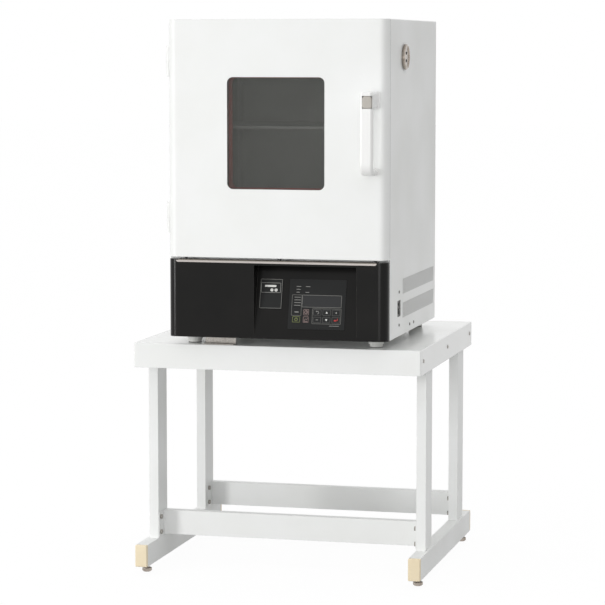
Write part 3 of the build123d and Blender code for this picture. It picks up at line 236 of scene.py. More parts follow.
def coated(name, colour, cloud, rubbed, gloss, grain, depth, edge=0.8, cut=None, **constants):
    """Clouds of two colours, an edge tint that is partly wear and partly painted highlight (on white paint a
    little painted shade), a grain of so many a metre and so deep in mm.
    """
    made = Finish(name, **constants)
    clouds = made.grain(clouds_a_metre, detail=4)
    normal = made.rounded(edge * mm)
    base = made.mix(made.between(clouds, 0, 1), paint(*colour), paint(*cloud))
    # cut is a grey painted as shade on the walls of the vent slots
    if cut:
        base = made.mix(vent_shade_mask(made), base, paint(*cut))
    # the edge tint is partly wear and partly painted highlight; on the white paint it is a little painted
    # shade
    made.feed("Base Color", made.mix(made.edges(normal), base, paint(*rubbed)))
    fine = made.grain(grain, detail=2)
    made.feed("Roughness", made.between(made.maths("ADD", clouds, fine), gloss[0], gloss[1], 0.8, 1.2))
    made.feed("Normal", made.relief(fine, depth * mm, normal))
    return made.material


# the white paint's edge tone is a little darker, painted shade along edges and seams
white = {"colour": (238, 239, 238), "cloud": (235, 236, 234), "rubbed": (230, 231, 229)}
finishes = {
    "white_coat": coated("white_powder_coat", **white, gloss=(0.36, 0.48), grain=620, depth=0.02),
    # the case's paint turns grey inside its vent slots as painted shade
    "case_coat": coated("white_case_coat", **white, gloss=(0.36, 0.48), grain=620, depth=0.02,
                        cut=(150, 149, 146)),
    "white_gloss_coat": coated("white_gloss_coat", **white, gloss=(0.10, 0.20), grain=620, depth=0.006),
    "dark_fascia": coated("black_satin_plastic", (18, 18, 17), (22, 21, 20), (64, 62, 59),
                          gloss=(0.16, 0.26), grain=900, depth=0.006, edge=1.6, Specular_IOR_Level=0.16),
    "overlay_grey": coated("grey_panel_film", (21, 22, 22), (25, 26, 26), (42, 42, 41),
                           gloss=(0.34, 0.44), grain=1500, depth=0.008, edge=0.3, Specular_IOR_Level=0.2),
    "key_dark": coated("black_key_film", (25, 26, 26), (30, 31, 31), (46, 46, 45),
                       gloss=(0.38, 0.5), grain=1500, depth=0.01, edge=0.4, Specular_IOR_Level=0.2),
    "cap_cream": coated("cream_plastic", (240, 226, 196), (233, 217, 184), (247, 236, 212),
                        gloss=(0.32, 0.46), grain=700, depth=0.02),
    "button_grey": coated("warm_grey_plastic", (184, 179, 172), (176, 171, 163), (206, 202, 196),
                          gloss=(0.3, 0.42), grain=900, depth=0.012),
    "handle_white": coated("white_gloss_plastic", (243, 243, 242), (240, 240, 238), (248, 248, 247),
                           gloss=(0.2, 0.32), grain=800, depth=0.01, edge=1.5),
    "black_part": coated("black_moulding", (26, 26, 27), (33, 33, 34), (58, 58, 58),
                         gloss=(0.36, 0.52), grain=1100, depth=0.02, edge=0.5),
    "breaker_grey": coated("grey_moulding", (74, 74, 73), (82, 82, 80), (104, 104, 102),
                           gloss=(0.36, 0.52), grain=1100, depth=0.02, edge=0.5),
    "gasket_grey": coated("grey_silicone", (186, 184, 178), (176, 174, 168), (198, 196, 191),
                          gloss=(0.5, 0.68), grain=900, depth=0.03),
    "seal_red": coated("red_silicone", (150, 52, 44), (136, 45, 38), (170, 76, 66),
                       gloss=(0.42, 0.6), grain=900, depth=0.02, edge=0.5),
    "window_tint": coated("display_pane", (36, 37, 38), (40, 41, 42), (52, 53, 54),
                          gloss=(0.1, 0.18), grain=400, depth=0.004, edge=0.3, Specular_IOR_Level=0.35),
}
print("made", len(finishes), "painted and moulded finishes")

# %% [markdown]
# ## Metal
#
# Stainless sheet is brushed with a belt, which leaves fine lines along the sheet: noise that is stretched
# about eighty times along one axis. Lines run across the walls that face the user and along the ones beside
# them, so the wall's own direction picks the pattern. Chrome is smooth, with faint smears. Zinc plate shows
# large, cloudy crystals.

# %% Brushed, plated and polished metal
brush_lines, line_stretch, soil_patches = 900, 0.012, 9
sideways_wall = 0.7
# a lighter colour on the metal's edges, a painted highlight
painted_edge_glint = (235, 233, 230)


def brushed(name, colour, shade, gloss, depth):
    """Two stretched noises, picked by the sideways part of the wall's direction."""
    made = Finish(name, Metallic=1.0)
    normal = made.rounded(0.6 * mm)
    facing = made.add("NewGeometry").outputs["Normal"]
    sideways = made.maths("ABSOLUTE", made.add("SeparateXYZ", {0: facing}).outputs["X"])
    across = made.grain(brush_lines, stretch=(line_stretch, 1, 1), detail=2)
    along = made.grain(brush_lines, stretch=(1, line_stretch, 1), detail=2)
    beside = made.maths("GREATER_THAN", sideways, sideways_wall)
    brush = made.add("Mix", {0: beside, 2: across, 3: along}).outputs[0]
    soil = made.grain(soil_patches, detail=5, warp=1)
    streaks = made.between(made.maths("ADD", brush, soil), 0, 1, 0.75, 1.25)
    made.feed("Base Color", made.mix(streaks, paint(*colour), paint(*shade)))
    made.feed("Roughness", made.between(streaks, gloss[0], gloss[1], 0, 1))
    made.feed("Normal", made.relief(brush, depth * mm, normal))
    return made.material


def polished(name, colour, smear, gloss, crystals=60, edge=0.5):
    """Clear metal with smears of a second colour, in patches of so many a metre, and a painted highlight on
    its edges.
    """
    made = Finish(name, Metallic=1.0)
    normal = made.rounded(edge * mm)
    patches = made.grain(crystals, detail=5, warp=2)
    base = made.mix(made.between(patches, 0, 1), paint(*colour), paint(*smear))
    made.feed("Base Color", made.mix(made.edges(normal), base, paint(*painted_edge_glint)))
    made.feed("Roughness", made.between(patches, gloss[0], gloss[1], 0.3, 0.7))
    made.feed("Normal", made.relief(patches, 0.01 * mm, normal))
    return made.material


finishes["stainless"] = brushed("brushed_stainless", (178, 178, 175), (150, 150, 147), (0.34, 0.5), 0.006)
finishes["trim_light"] = brushed("anodised_strip", (178, 173, 169), (166, 160, 156), (0.28, 0.4), 0.004)
# a darker copy of the strip's metal, painted shade for the flange under the door
finishes["trim_deep"] = brushed("trim_painted_shade", (112, 106, 99), (98, 93, 86), (0.3, 0.42), 0.004)
finishes["chrome"] = polished("bright_chrome", (172, 163, 154), (148, 138, 128), (0.06, 0.16))
finishes["plated_steel"] = polished("zinc_plate", (176, 172, 166), (146, 142, 137), (0.28, 0.46),
                                    crystals=120)
finishes["screw_dark"] = polished("dark_screw", (132, 129, 125), (104, 102, 99), (0.3, 0.45),
                                  crystals=300, edge=0.2)
print("made", len(finishes), "finishes with the metals")

# %% [markdown]
# ## Rubber feet, glass wool and window glass
#
# The case's feet are a pale moulding on a darker tread, so the height of a point picks its colour. Glass wool
# is a mass of fibres that no light gets through, drawn as long thin noise in three directions. The window is
# two panes of glass: the shader lets most of the light past and keeps a faint mirror image of the room, their
# grey colour is a painted reflection of the room, and a faint film of grease makes it wander.

# %% Feet, wool and glass
tread_height = 1.6 * mm


def foot_rubber(name):
    """Dark below the tread's height and pale above it, with a fine mould grain."""
    made = Finish(name)
    normal = made.rounded(0.8 * mm)
    fine = made.grain(800, detail=3)
    height = made.add("SeparateXYZ", {0: made.place}).outputs["Z"]
    pale = made.maths("GREATER_THAN", height, oven_floor + tread_height)
    dark = made.mix(fine, paint(88, 87, 84), paint(70, 69, 67))
    light = made.mix(fine, paint(222, 222, 219), paint(208, 208, 205))
    made.feed("Base Color", made.mix(pale, dark, light))
    made.feed("Roughness", made.between(fine, 0.5, 0.75))
    made.feed("Normal", made.relief(fine, 0.03 * mm, normal))
    return made.material


def glass_wool(name):
    """The greater of two noises that are long in X and in Y, plus one that is long in Z, as fibres."""
    made = Finish(name)
    ways = ((0.1, 1, 1), (1, 0.1, 1), (1, 1, 0.1))
    strands = [made.grain(500, stretch=way, detail=3, warp=1) for way in ways]
    fibres = made.maths("ADD", made.maths("MAXIMUM", strands[0], strands[1]), strands[2])
    tint = made.between(fibres, 0, 1, 0.9, 1.3)
    made.feed("Base Color", made.mix(tint, paint(196, 178, 120), paint(232, 220, 176)))
    made.feed("Roughness", made.between(fibres, 0.85, 1.0, 0.9, 1.3))
    made.feed("Normal", made.relief(fibres, 1.5 * mm, made.rounded(3 * mm)))
    return made.material


def pane(name, colour, share):
    """A thin grey film, a painted reflection of the room, that covers so great a share of what lies behind,
    with patches of grease.
    """
    made = Finish(name, Alpha=share)
    grease = made.grain(14, detail=6, warp=2)
    greasy = [part + 5 for part in colour]
    made.feed("Base Color", made.mix(made.between(grease, 0, 1), paint(*colour), paint(*greasy)))
    made.feed("Roughness", made.between(grease, 0.02, 0.07))
    made.feed("Normal", made.relief(grease, 0.002 * mm, made.rounded(0.5 * mm)))
    return made.material


finishes["foot_rubber"] = foot_rubber("foot_moulding")
finishes["wool"] = glass_wool("glass_wool")
# the panes' grey is a painted reflection of the room
finishes["glass_clear"] = pane("window_glass", (94, 95, 91), 0.26)
print("made", len(finishes), "finishes in all")

# %% [markdown]
# ## Dressing the CAD
#
# Every CAD node gets its finish in its own material slots. The list below says which stuff each part is made
# of, in the words of its maker.

# %% Each CAD node's finish
dress = {
    "white_gloss_coat": "stand_top",
    "white_coat": ("side_frame_left side_frame_right stretcher_front stretcher_rear "
                   "cabinet_back cabinet_base front_frame door_shell hinge_brackets hinge_barrels"),
    "case_coat": "cabinet_shell",
    "dark_fascia": "fascia",
    "overlay_grey": "protector_module controller_module",
    "key_dark": ("key_menu key_timer key_back key_up key_left key_power key_memory key_clear key_down "
                 "key_enter protector_key_down protector_key_up"),
    "trim_light": "trim_strip",
    "plated_steel": "stand_bolts fixing_bracket strike_plate latch_tongue",
    "stainless": "chamber_liner shelf_rails shelf heater heater_cover temperature_sensor door_liner",
    "chrome": ("leveller_front_left leveller_front_right leveller_rear_left leveller_rear_right exhaust_port "
               "damper_dial"),
    "cap_cream": "rail_end_caps",
    "button_grey": "handle_button",
    "handle_white": "door_handle",
    "black_part": "cable_gland",
    "breaker_grey": "breaker_body breaker_rocker",
    "screw_dark": "cabinet_screws",
    "wool": "chamber_insulation door_insulation",
    "glass_clear": "outer_glass inner_glass",
    "seal_red": "window_seal",
    "gasket_grey": "door_gasket",
    "foot_rubber": "oven_feet",
    "window_tint": "display_window",
}
for stuff, names in dress.items():
    for name in names.split():
        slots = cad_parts[name].data.materials
        slots.clear()
        slots.append(finishes[stuff])
print("dressed", len(" ".join(dress.values()).split()), "CAD nodes")

# %% [markdown]
# ## Surfaces from numpy
#
# A new piece is a grid of points, worked out all at once as an array, and the quads between them. Where a row
# of the grid shrinks to one point, as at the top of a dome, its doubles are merged and the quads there become
# triangles. The piece then rides on a CAD body, so that it moves with it.

# %% From grid to piece
def surface(grid, wrap_rows=False, wrap_columns=True):
    """Points and quads of a grid; a wrapped side joins its last line to its first."""
    rows, columns = grid.shape[:2]
    row = np.arange(rows if wrap_rows else rows - 1)[:, None]
    column = np.arange(columns if wrap_columns else columns - 1)[None, :]
    below, beside = (row + 1) % rows, (column + 1) % columns
    corners = (row * columns + column, row * columns + beside,
               below * columns + beside, below * columns + column)
    return grid.reshape(-1, 3), np.stack(np.broadcast_arrays(*corners), axis=-1).reshape(-1, 4)


def piece(name, face, shapes, finish, body, smooth=35, instead_of=None):
    """One mesh of several shapes on a face: doubles merged, faces outwards, creases past an angle."""
    points = np.concatenate([shape[0] for shape in shapes])
    starts = np.cumsum([0] + [len(shape[0]) for shape in shapes[:-1]])
    quads = np.concatenate([shape[1] + start for shape, start in zip(shapes, starts)])
    mesh = bpy.data.meshes.new(name)
    mesh.from_pydata(lay_on(face, points).tolist(), [], quads.tolist())
    cleaned = bmesh.new()
    cleaned.from_mesh(mesh)
    bmesh.ops.remove_doubles(cleaned, verts=cleaned.verts, dist=1e-6)
    bmesh.ops.recalc_face_normals(cleaned, faces=cleaned.faces)
    cleaned.to_mesh(mesh)
    cleaned.free()
    mesh.shade_smooth()
    mesh.set_sharp_from_angle(angle=radians(smooth))
    mesh.materials.append(finish)
    made = bpy.data.objects.new(name, mesh)
    scene.collection.objects.link(made)
    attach(made, body)
    if instead_of:
        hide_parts(instead_of)
    print(name, "has", len(mesh.polygons), "faces and rides on", body)


# %% Outlines
def rounded_box(left, right, low, high, corner, steps=6):
    """Each corner's centre plus its radius, turned through a quarter; the second array points outwards."""
    turn = np.arange(4)[:, None] * pi / 2 + np.linspace(0, pi / 2, steps)[None, :]
    centres = [(right - corner, high - corner), (left + corner, high - corner),
               (left + corner, low + corner), (right - corner, low + corner)]
    outwards = np.stack([np.cos(turn), np.sin(turn)], axis=-1)
    return (np.array(centres)[:, None] + corner * outwards).reshape(-1, 2), outwards.reshape(-1, 2)


def ring(x, y, radius, steps=32, start=0.0):
    """Centre plus radius times the cosine and sine of the angle; three steps make a triangle."""
    turn = start + np.linspace(0, 2 * pi, steps, endpoint=False)
    outwards = np.stack([np.cos(turn), np.sin(turn)], axis=-1)
    return np.array((x, y)) + radius * outwards, outwards


# %% Shapes on an outline and along a line
def carry(outline, profile, filled=True):
    """At each place on the outline and of the profile: the place, plus the outward direction times the
    profile's reach, at the profile's height. Filled, it closes over the middle at both ends; otherwise the
    profile is itself a closed loop."""
    path, outwards = outline
    reach, height = np.array(profile, float).T
    flat = path[None] + outwards[None] * reach[:, None, None]
    grid = np.concatenate([flat, np.broadcast_to(height[:, None, None], (*flat.shape[:2], 1))], axis=-1)
    if filled:
        middle = path.mean(axis=0)
        ends = [np.broadcast_to((*middle, end), (1, *grid.shape[1:])) for end in (height[0], height[-1])]
        grid = np.concatenate([ends[0], grid, ends[1]])
    return surface(grid, wrap_rows=not filled)


def line_profile(width, height):
    """Cross-section of a printed line: a low bar with its upper corners cut."""
    half, cut = width / 2, min(width, height) / 3
    return [(-half, 0), (-half, height - cut), (-half + cut, height),
            (half - cut, height), (half, height - cut), (half, 0)]


def stroke(points, width, height):
    """A line of ink along some points: each point plus and minus half the width across the line. At each end
    the width shrinks as a cosine while the line goes on by a sine, which makes a half circle."""
    path = np.array(points, float)
    along = np.gradient(path, axis=0)
    along /= np.linalg.norm(along, axis=1, keepdims=True)
    turn = np.linspace(0, pi / 2, 4)[1:, None]
    head = path[0] - along[0] * np.sin(turn[::-1]) * width / 2
    tail = path[-1] + along[-1] * np.sin(turn) * width / 2
    spine = np.concatenate([head, path, tail])
    half = np.concatenate([np.cos(turn[::-1]), np.ones((len(path), 1)), np.cos(turn)]) * width / 2
    ways = np.concatenate([np.repeat(along[:1], len(turn), 0), along, np.repeat(along[-1:], len(turn), 0)])
    across = np.stack([-ways[:, 1], ways[:, 0]], axis=-1) * half
    sides = [(spine - across, 0), (spine - across, height), (spine + across, height), (spine + across, 0)]
    grid = np.stack([np.c_[flat, np.full(len(flat), rise)] for flat, rise in sides], axis=1)
    return surface(grid)


def lifted(shape, height):
    """The same shape, further out from its face."""
    return shape[0] + (0, 0, height), shape[1]


# %% [markdown]
# ## The door's gasket
#
# The CAD gasket is a plain square frame. The real one is a hollow silicone bulb that the door squeezes, so it
# is replaced by an oval profile carried round the chamber's mouth.

# %% Bulb gasket
gasket_low, gasket_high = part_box("door_gasket")
gasket_depth = (gasket_high.y - gasket_low.y) / mm
gasket_width = 14
squareness = 0.75
edge_in = gasket_width / 2
bulb_turn = np.linspace(0, 2 * pi, 24, endpoint=False)
bulb = np.stack([
    gasket_width / 2 * np.sign(np.cos(bulb_turn)) * np.abs(np.cos(bulb_turn)) ** squareness,
    gasket_depth / 2 * (1 + np.sign(np.sin(bulb_turn)) * np.abs(np.sin(bulb_turn)) ** squareness),
], axis=-1)
gasket_path = rounded_box(gasket_low.x / mm + edge_in, gasket_high.x / mm - edge_in,
                          gasket_low.z / mm + edge_in, gasket_high.z / mm - edge_in, edge_in, steps=8)
piece("door_bulb_gasket", upright(0, gasket_high.y, 0), [carry(gasket_path, bulb, filled=False)],
      finishes["gasket_grey"], "cabinet", instead_of="door_gasket")

# %% [markdown]
# ## Over the fascia
#
# A thin flange lies on the fascia's top and turns down over its front edge, as far as the light strip. Its
# finish is the strip's metal made darker, painted shade under the door. In the dark gap above it the
# photograph shows three small knobs. They are rubber bumpers that stand on the fascia and carry the door's
# weight when it shuts.

# %% Flange over the fascia's top
fascia_low, fascia_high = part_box("fascia")
flange_half, flange_depth, flange_drop, flange_corner = 262, 26, 2.0, 0.2
seat, flange_top = 0.05, 0.35
sheet = [(0, seat), (0, flange_top)]
lying = rounded_box(-flange_half, flange_half, 0, flange_depth, flange_corner, steps=2)
hanging = rounded_box(-flange_half, flange_half, -flange_drop, flange_top, flange_corner, steps=2)
fascia_edge = (oven_x, fascia_low.y, fascia_high.z)
piece("strip_flange_top", level(*fascia_edge), [carry(lying, sheet)], finishes["trim_deep"],
      "cabinet")
piece("strip_flange_front", upright(*fascia_edge), [carry(hanging, sheet)], finishes["trim_deep"],
      "cabinet")

# %% Three bumpers
bumper_radius, bumper_places, bumper_inset, bumper_play = 4.5, (-233, 17, 268), 9, 0.6
bumper_tall = (door_low.z - fascia_high.z) / mm - bumper_play
bumper_profile = [(0, 0.02), (0, bumper_tall - 1.2), (-0.35, bumper_tall - 0.35), (-1.2, bumper_tall)]
bumper_depth = fascia_low.y / mm + bumper_inset
bumpers = [carry(ring(x, bumper_depth, bumper_radius, steps=24), bumper_profile) for x in bumper_places]
piece("door_bumpers", level(0, 0, fascia_high.z), bumpers, finishes["black_part"], "cabinet")

# %% [markdown]
# ## The seam round the door
#
# The door shuts against the case with a two-millimetre seam that shows as a fine dark line. That line is
# painted
# shade: a black lip stands in the seam on the case's front edge, a flat profile carried round the door's
# outline.

# %% Black lip as painted shade in the seam
lip_inset, lip_width, lip_bevel, lip_lift, lip_corner, lip_play = 0.12, 1.5, 0.2, 1.5, 2.0, 0.5
lip_height = (case_low.y - door_high.y) / mm - lip_play
lip = [(-lip_inset, 0.0), (-lip_inset, lip_height - lip_bevel), (-lip_inset - lip_bevel, lip_height),
       (-lip_inset - lip_width, lip_height), (-lip_inset - lip_width, 0.0)]
lip_path = rounded_box(case_low.x / mm, case_high.x / mm, door_low.z / mm + lip_lift, case_high.z / mm,
                       lip_corner, steps=5)
piece("door_seam_shade_lip", upright(0, case_low.y, 0), [carry(lip_path, lip, filled=False)],
      finishes["black_part"], "cabinet")

# %% [markdown]
# ## Inks
#
# The overlays are printed film. A print is a few hundredths of a millimetre of ink, so each line is a real,
# very thin bar, and its finish is matt with tiny pinholes, as screen printing has.

# %% Printing inks
def ink(name, colour):
    """One colour, a little darker at pinholes."""
    made = Finish(name, Specular_IOR_Level=0.3)
    pinholes = made.grain(2600, detail=2)
    dimmed = paint(*[0.88 * part for part in colour])
    made.feed("Base Color", made.mix(made.between(pinholes, 0, 1, 0.6, 0.75), paint(*colour), dimmed))
    made.feed("Roughness", made.between(pinholes, 0.45, 0.65))
    return made.material


ink_line = ink("grey_line_ink", (118, 118, 114))
ink_faint = ink("faint_line_ink", (92, 92, 90))
ink_soft = ink("soft_grey_ink", (150, 150, 146))
ink_white = ink("white_ink", (226, 226, 222))
ink_green = ink("green_ink", (132, 142, 84))
ink_red = ink("red_ink", (200, 62, 58))
ink_rose = ink("rose_ink", (158, 136, 132))
print("materials so far, with the inks:", len(bpy.data.materials))

# %% [markdown]
# ## Printing on the controller
#
# The controller's film has a frame round the display, a narrow frame for the legend, a frame round the group
# of keys and small status marks. Where the real one has words, short plain bars take their place. Each frame
# is drawn by its left, right, low and high edge on the console, and each bar by its left and right end and
# its height.

# %% Frames and marks on the controller
film = 0.06
controller_out = 1.2


def frame_line(left, right, low, high, width=0.9, corner=1.5):
    """A printed line carried round a rounded box."""
    return carry(rounded_box(left, right, low, high, corner), line_profile(width, film), filled=False)


def bar(left, right, middle, width=1.2):
    """A level stroke with its round ends inside its length."""
    return stroke([(left + width / 2, middle), (right - width / 2, middle)], width, film)


frames = [frame_line(63, 166, 77, 108, width=1.1), frame_line(36, 61.5, 54.6, 108),
          frame_line(91.4, 166.6, 34.4, 73.6)]
legend = [bar(42, 59, row) for row in (102, 95, 88, 81)]
status = [bar(46, 58, 130), bar(70, 82, 130), bar(46, 57, 122.5), bar(46, 55, 115), bar(70, 80, 115)]
name_bar = [bar(137, 163, 29.5, width=1.0)]
controller_print = [lifted(shape, controller_out) for shape in frames]
piece("controller_frames", CONSOLE, controller_print, ink_line, "cabinet")
controller_marks = [lifted(shape, controller_out) for shape in legend + status + name_bar]
piece("controller_marks", CONSOLE, controller_marks, ink_soft, "cabinet")

# %% [markdown]
# ## Signs on the keys
#
# Each key is its own body that travels by less than half a millimetre, so its sign and outline ride on that
# body. The signs are the common ones: a power sign, arrows, a curved arrow for going back, and a dash. They
# are drawn from the middle of their key.

# %% Outlines and signs of the ten keys
key_out = 0.5
key_top = controller_out + key_out
key_half_height = 8.0
outline_inset = 0.9
key_faces = {}
for key in [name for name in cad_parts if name.startswith("key_")]:
    low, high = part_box(key)
    drop = ((low.z + high.z) / 2 - oven_floor - console_rise) / mm
    middle = (low.x + high.x) / 2 / mm - oven_x / mm
    key_faces[key] = (middle, drop / cos(console_tilt), (high.x - low.x) / mm)


def arc(x, y, radius, start, stop, steps=14):
    """Points on a circle between two angles in degrees."""
    turn = np.radians(np.linspace(start, stop, steps))
    return np.stack([x + radius * np.cos(turn), y + radius * np.sin(turn)], axis=-1)


def wedge(x, y, radius, towards):
    """A filled triangle that points towards an angle in degrees."""
    return carry(ring(x, y, radius, steps=3, start=radians(towards)), [(0, 0), (0, film)])


def outline(key, finish):
    """A printed line just inside the edges of a key."""
    x, v, width = key_faces[key]
    half, tall = width / 2 - outline_inset, key_half_height - outline_inset
    line = frame_line(x - half, x + half, v - tall, v + tall, width=0.8)
    piece(key + "_outline", CONSOLE, [lifted(line, key_top)], finish, key)


def sign(key, shapes, finish):
    """Shapes drawn from a key's middle, laid on its top."""
    x, v = key_faces[key][:2]
    placed = [(points + (x, v, key_top), quads) for points, quads in shapes]
    piece(key + "_sign", CONSOLE, placed, finish, key)


def pen(points):
    """A stroke of the width that most signs have."""
    return stroke(points, 1.1, film)


sign("key_menu", [bar(-5.5, 5.5, 0, width=2.2)], ink_soft)
sign("key_power", [pen(arc(0, 0, 3.6, 125, 415)), pen([(0, 1), (0, 4.6)])], ink_green)
outline("key_power", ink_green)
sign("key_timer", [pen(arc(0, 0, 4.2, 0, 354, 24)), pen([(0, 2.6), (0, 0), (2.2, -1)])], ink_rose)
outline("key_timer", ink_rose)
zigzag = [(-4, -3), (-1.5, 2.5), (1.5, -1), (4, 3)]
sign("key_memory", [pen(zigzag), pen([(-4, -4.6), (4, -4.6)])], ink_rose)
outline("key_memory", ink_rose)
for key in ("key_back", "key_up", "key_left", "key_clear", "key_down", "key_enter"):
    outline(key, ink_faint)
sign("key_back", [pen(arc(0.5, -0.4, 3.4, -80, 120)), wedge(-2.2, 2.6, 2.2, 180)], ink_soft)
sign("key_up", [wedge(0, -0.4, 3.4, 90)], ink_white)
sign("key_left", [wedge(0.4, 0, 3.2, 180)], ink_soft)
sign("key_clear", [bar(-3.2, 3.2, 0, width=1.4)], ink_soft)
sign("key_down", [wedge(0, 0.4, 3.4, 270)], ink_white)
hook = [(4.2, 3.4), (4.2, -1), (-1, -1)]
sign("key_enter", [stroke(hook, 1.6, film), wedge(-2.2, -1, 3.2, 180)], ink_red)

# %% [markdown]
# ## Printing on the overheat protector
#
# The small module on the left has a double outline, a white bar where its scale is, and two round white keys
# with a minus and a plus.

# %% Outline and scale of the protector
protector_out = 1.6
protector_frame = frame_line(-49.4, 7.6, 72, 147, width=1.1, corner=1.2)
piece("protector_frame", CONSOLE, [lifted(protector_frame, protector_out)], ink_line,
      "cabinet")
scale_frame = frame_line(-47.6, 3.6, 112.6, 137.4, width=1.0)
piece("protector_scale_frame", CONSOLE, [lifted(scale_frame, protector_out)], ink_soft,
      "cabinet")
scale_bar = carry(rounded_box(-38, -8, 127, 132, 0.6), [(0, 0), (0, 0.1), (-0.05, 0.14)])
piece("protector_scale", CONSOLE, [lifted(scale_bar, protector_out)], ink_white, "cabinet")

# %% Its two keys
key_row, cap_radius, cap_height = 119, 4.0, 0.36
half_sign, sign_width = 1.8, 0.8
cap_profile = [(0, 0), (0, 0.1), (-0.4, 0.3), (-1.2, cap_height)]
cap_out = protector_out + key_out
for word, x in (("down", -19), ("up", -8)):
    body = "protector_key_" + word
    cap = carry(ring(x, key_row, cap_radius, steps=36), cap_profile)
    piece(body + "_cap", CONSOLE, [lifted(cap, cap_out)], ink_white, body)
    strokes = [stroke([(x - half_sign, key_row), (x + half_sign, key_row)], sign_width, film)]
    if word == "up":
        strokes.append(stroke([(x, key_row - half_sign), (x, key_row + half_sign)], sign_width, film))
    piece(body + "_sign", CONSOLE, [lifted(shape, cap_out + cap_height) for shape in strokes],
          finishes["black_part"], body)

# %% [markdown]
# ## Screws
#
# A pan-head screw shows a cross recess. The CAD keeps the head plain, so a black cross with round-ended arms
# lies on each head as painted shade of the recess. The heads are found in the CAD mesh itself: points that
# hang together are one screw.

# %% Find the screws of a node
def islands(node, gap=0.05 * mm):
    """Lowest and highest corner of every loose part of a CAD node: each point takes the smallest number among
    the points it shares an edge or a place with, again and again, until nothing changes."""
    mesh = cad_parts[node].data
    points = np.zeros(len(mesh.vertices) * 3)
    mesh.vertices.foreach_get("co", points)
    points = points.reshape(-1, 3)
    ends = np.zeros(len(mesh.edges) * 2, int)
    mesh.edges.foreach_get("vertices", ends)
    ends = ends.reshape(-1, 2)
    same = np.unique(np.round(points / gap).astype(int), axis=0, return_inverse=True)[1].reshape(-1)
    label = np.arange(same.max() + 1)
    pairs = same[ends]
    changed = True
    while changed:
        least = label[pairs].min(axis=1)
        newer = label.copy()
        np.minimum.at(newer, pairs[:, 0], least)
        np.minimum.at(newer, pairs[:, 1], least)
        newer = newer[newer]
        changed = bool((newer != label).any())
        label = newer
    groups = label[same]
    return [(points[groups == g].min(axis=0), points[groups == g].max(axis=0)) for g in np.unique(groups)]


# %% Black crosses, painted shade of the recesses
head_reach, head_height, near = 4, 2 * mm, 3 * mm
arm, arm_width, arm_rise, arm_sunk = 0.55 * head_reach, 0.28 * head_reach, 0.05, 0.12


def cross_on(corners, axis, way):
    """The two strokes of a cross, laid on the middle of a screw's head that looks along an axis."""
    low, high = corners
    middle = (low + high) / 2
    middle[axis] = (high if way > 0 else low)[axis]
    directions = np.eye(3)
    face = (middle, directions[(axis + 1) % 3], directions[(axis + 2) % 3], directions[axis] * way)
    laid = []
    for ends in (((-arm, 0), (arm, 0)), ((0, -arm), (0, arm))):
        points, quads = stroke(ends, arm_width, arm_rise)
        laid.append((lay_on(face, points + (0, 0, -arm_sunk)) / mm, quads))
    return laid


case_heads = [(0, 1, case_high.x + head_height), (0, -1, case_low.x - head_height),
              (1, 1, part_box("cabinet_back")[1].y + head_height)]
crosses = []
for corners in islands("cabinet_screws"):
    for axis, way, plane in case_heads:
        outermost = corners[1][axis] if way > 0 else -corners[0][axis]
        if abs(outermost - way * plane) < near and (corners[1] - corners[0])[axis] > near:
            crosses += cross_on(corners, axis, way)
piece("case_screw_recess_shade", PLAN, crosses, finishes["black_part"], "cabinet")
print("crosses on the case:", len(crosses) // 2)

# %% [markdown]
# ## Threads of the levelling feet
#
# A thread is a surface of revolution whose radius also depends on the height. Each thread shows between its
# foot's pad and the lock nut under the rail, and rides on its own foot, so it turns with it.

# %% Four threaded studs
def thread(x, y, low, high, core, crest, pitch, drawn_in=0.4, turn_steps=28, rows_per_pitch=6):
    """At a turn and a height, the radius is the core plus a triangle wave of the height over the pitch, less
    the turn. The first and last rows are drawn in, below the core."""
    rows = int((high - low) / pitch * rows_per_pitch) + 1
    height = np.linspace(low, high, rows)[:, None]
    turn = np.linspace(0, 2 * pi, turn_steps, endpoint=False)[None, :]
    phase = (height / pitch - turn / (2 * pi)) % 1
    radius = core + (crest - core) * (1 - np.abs(2 * phase - 1))
    radius = np.where((height == low) | (height == high), core - drawn_in, radius)
    tall = np.broadcast_to(height, radius.shape)
    return surface(np.stack([x + radius * np.cos(turn), y + radius * np.sin(turn), tall], axis=-1))


pad_top, lock_nut_reach = 10.8, 5.6
nut_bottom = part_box("side_frame_left")[0].z / mm - lock_nut_reach
for word in ("front_left", "front_right", "rear_left", "rear_right"):
    node = "leveller_" + word
    low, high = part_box(node)
    middle = (low + high) / 2 / mm
    shapes = [thread(middle.x, middle.y, pad_top, nut_bottom, core=4.6, crest=5.25, pitch=1.5)]
    piece(node + "_thread", PLAN, shapes, finishes["chrome"], node, smooth=60)

# %% [markdown]
# ## The floor and the light
#
# The photograph has a pure white ground. A wide pale floor takes most of its white from itself where the
# camera looks straight at it, and keeps a soft trace of the object's shadow. The stronger of two soft boxes
# stands to the left in front and the weaker one in front, which leaves the right side of the case in half
# light, as in the photograph. The world fills in from all sides, more from above than from the horizon, and
# shows plain white to the camera, to mirrors and through glass.

# %% Floor
floor_reach = 40.0
floor_tone, floor_glow, glow_share = (0.5, 0.5, 0.5, 1), 1.06, 0.90


def seen_directly(tree):
    """1 for rays from the camera, off a mirror or through glass, else 0: the greatest of the three."""
    path = tree.nodes.new("ShaderNodeLightPath")
    total = path.outputs["Is Camera Ray"]
    for words in ("Is Glossy Ray", "Is Transmission Ray"):
        larger = tree.nodes.new("ShaderNodeMath")
        larger.operation = "MAXIMUM"
        tree.links.new(total, larger.inputs[0])
        tree.links.new(path.outputs[words], larger.inputs[1])
        total = larger.outputs[0]
    return total


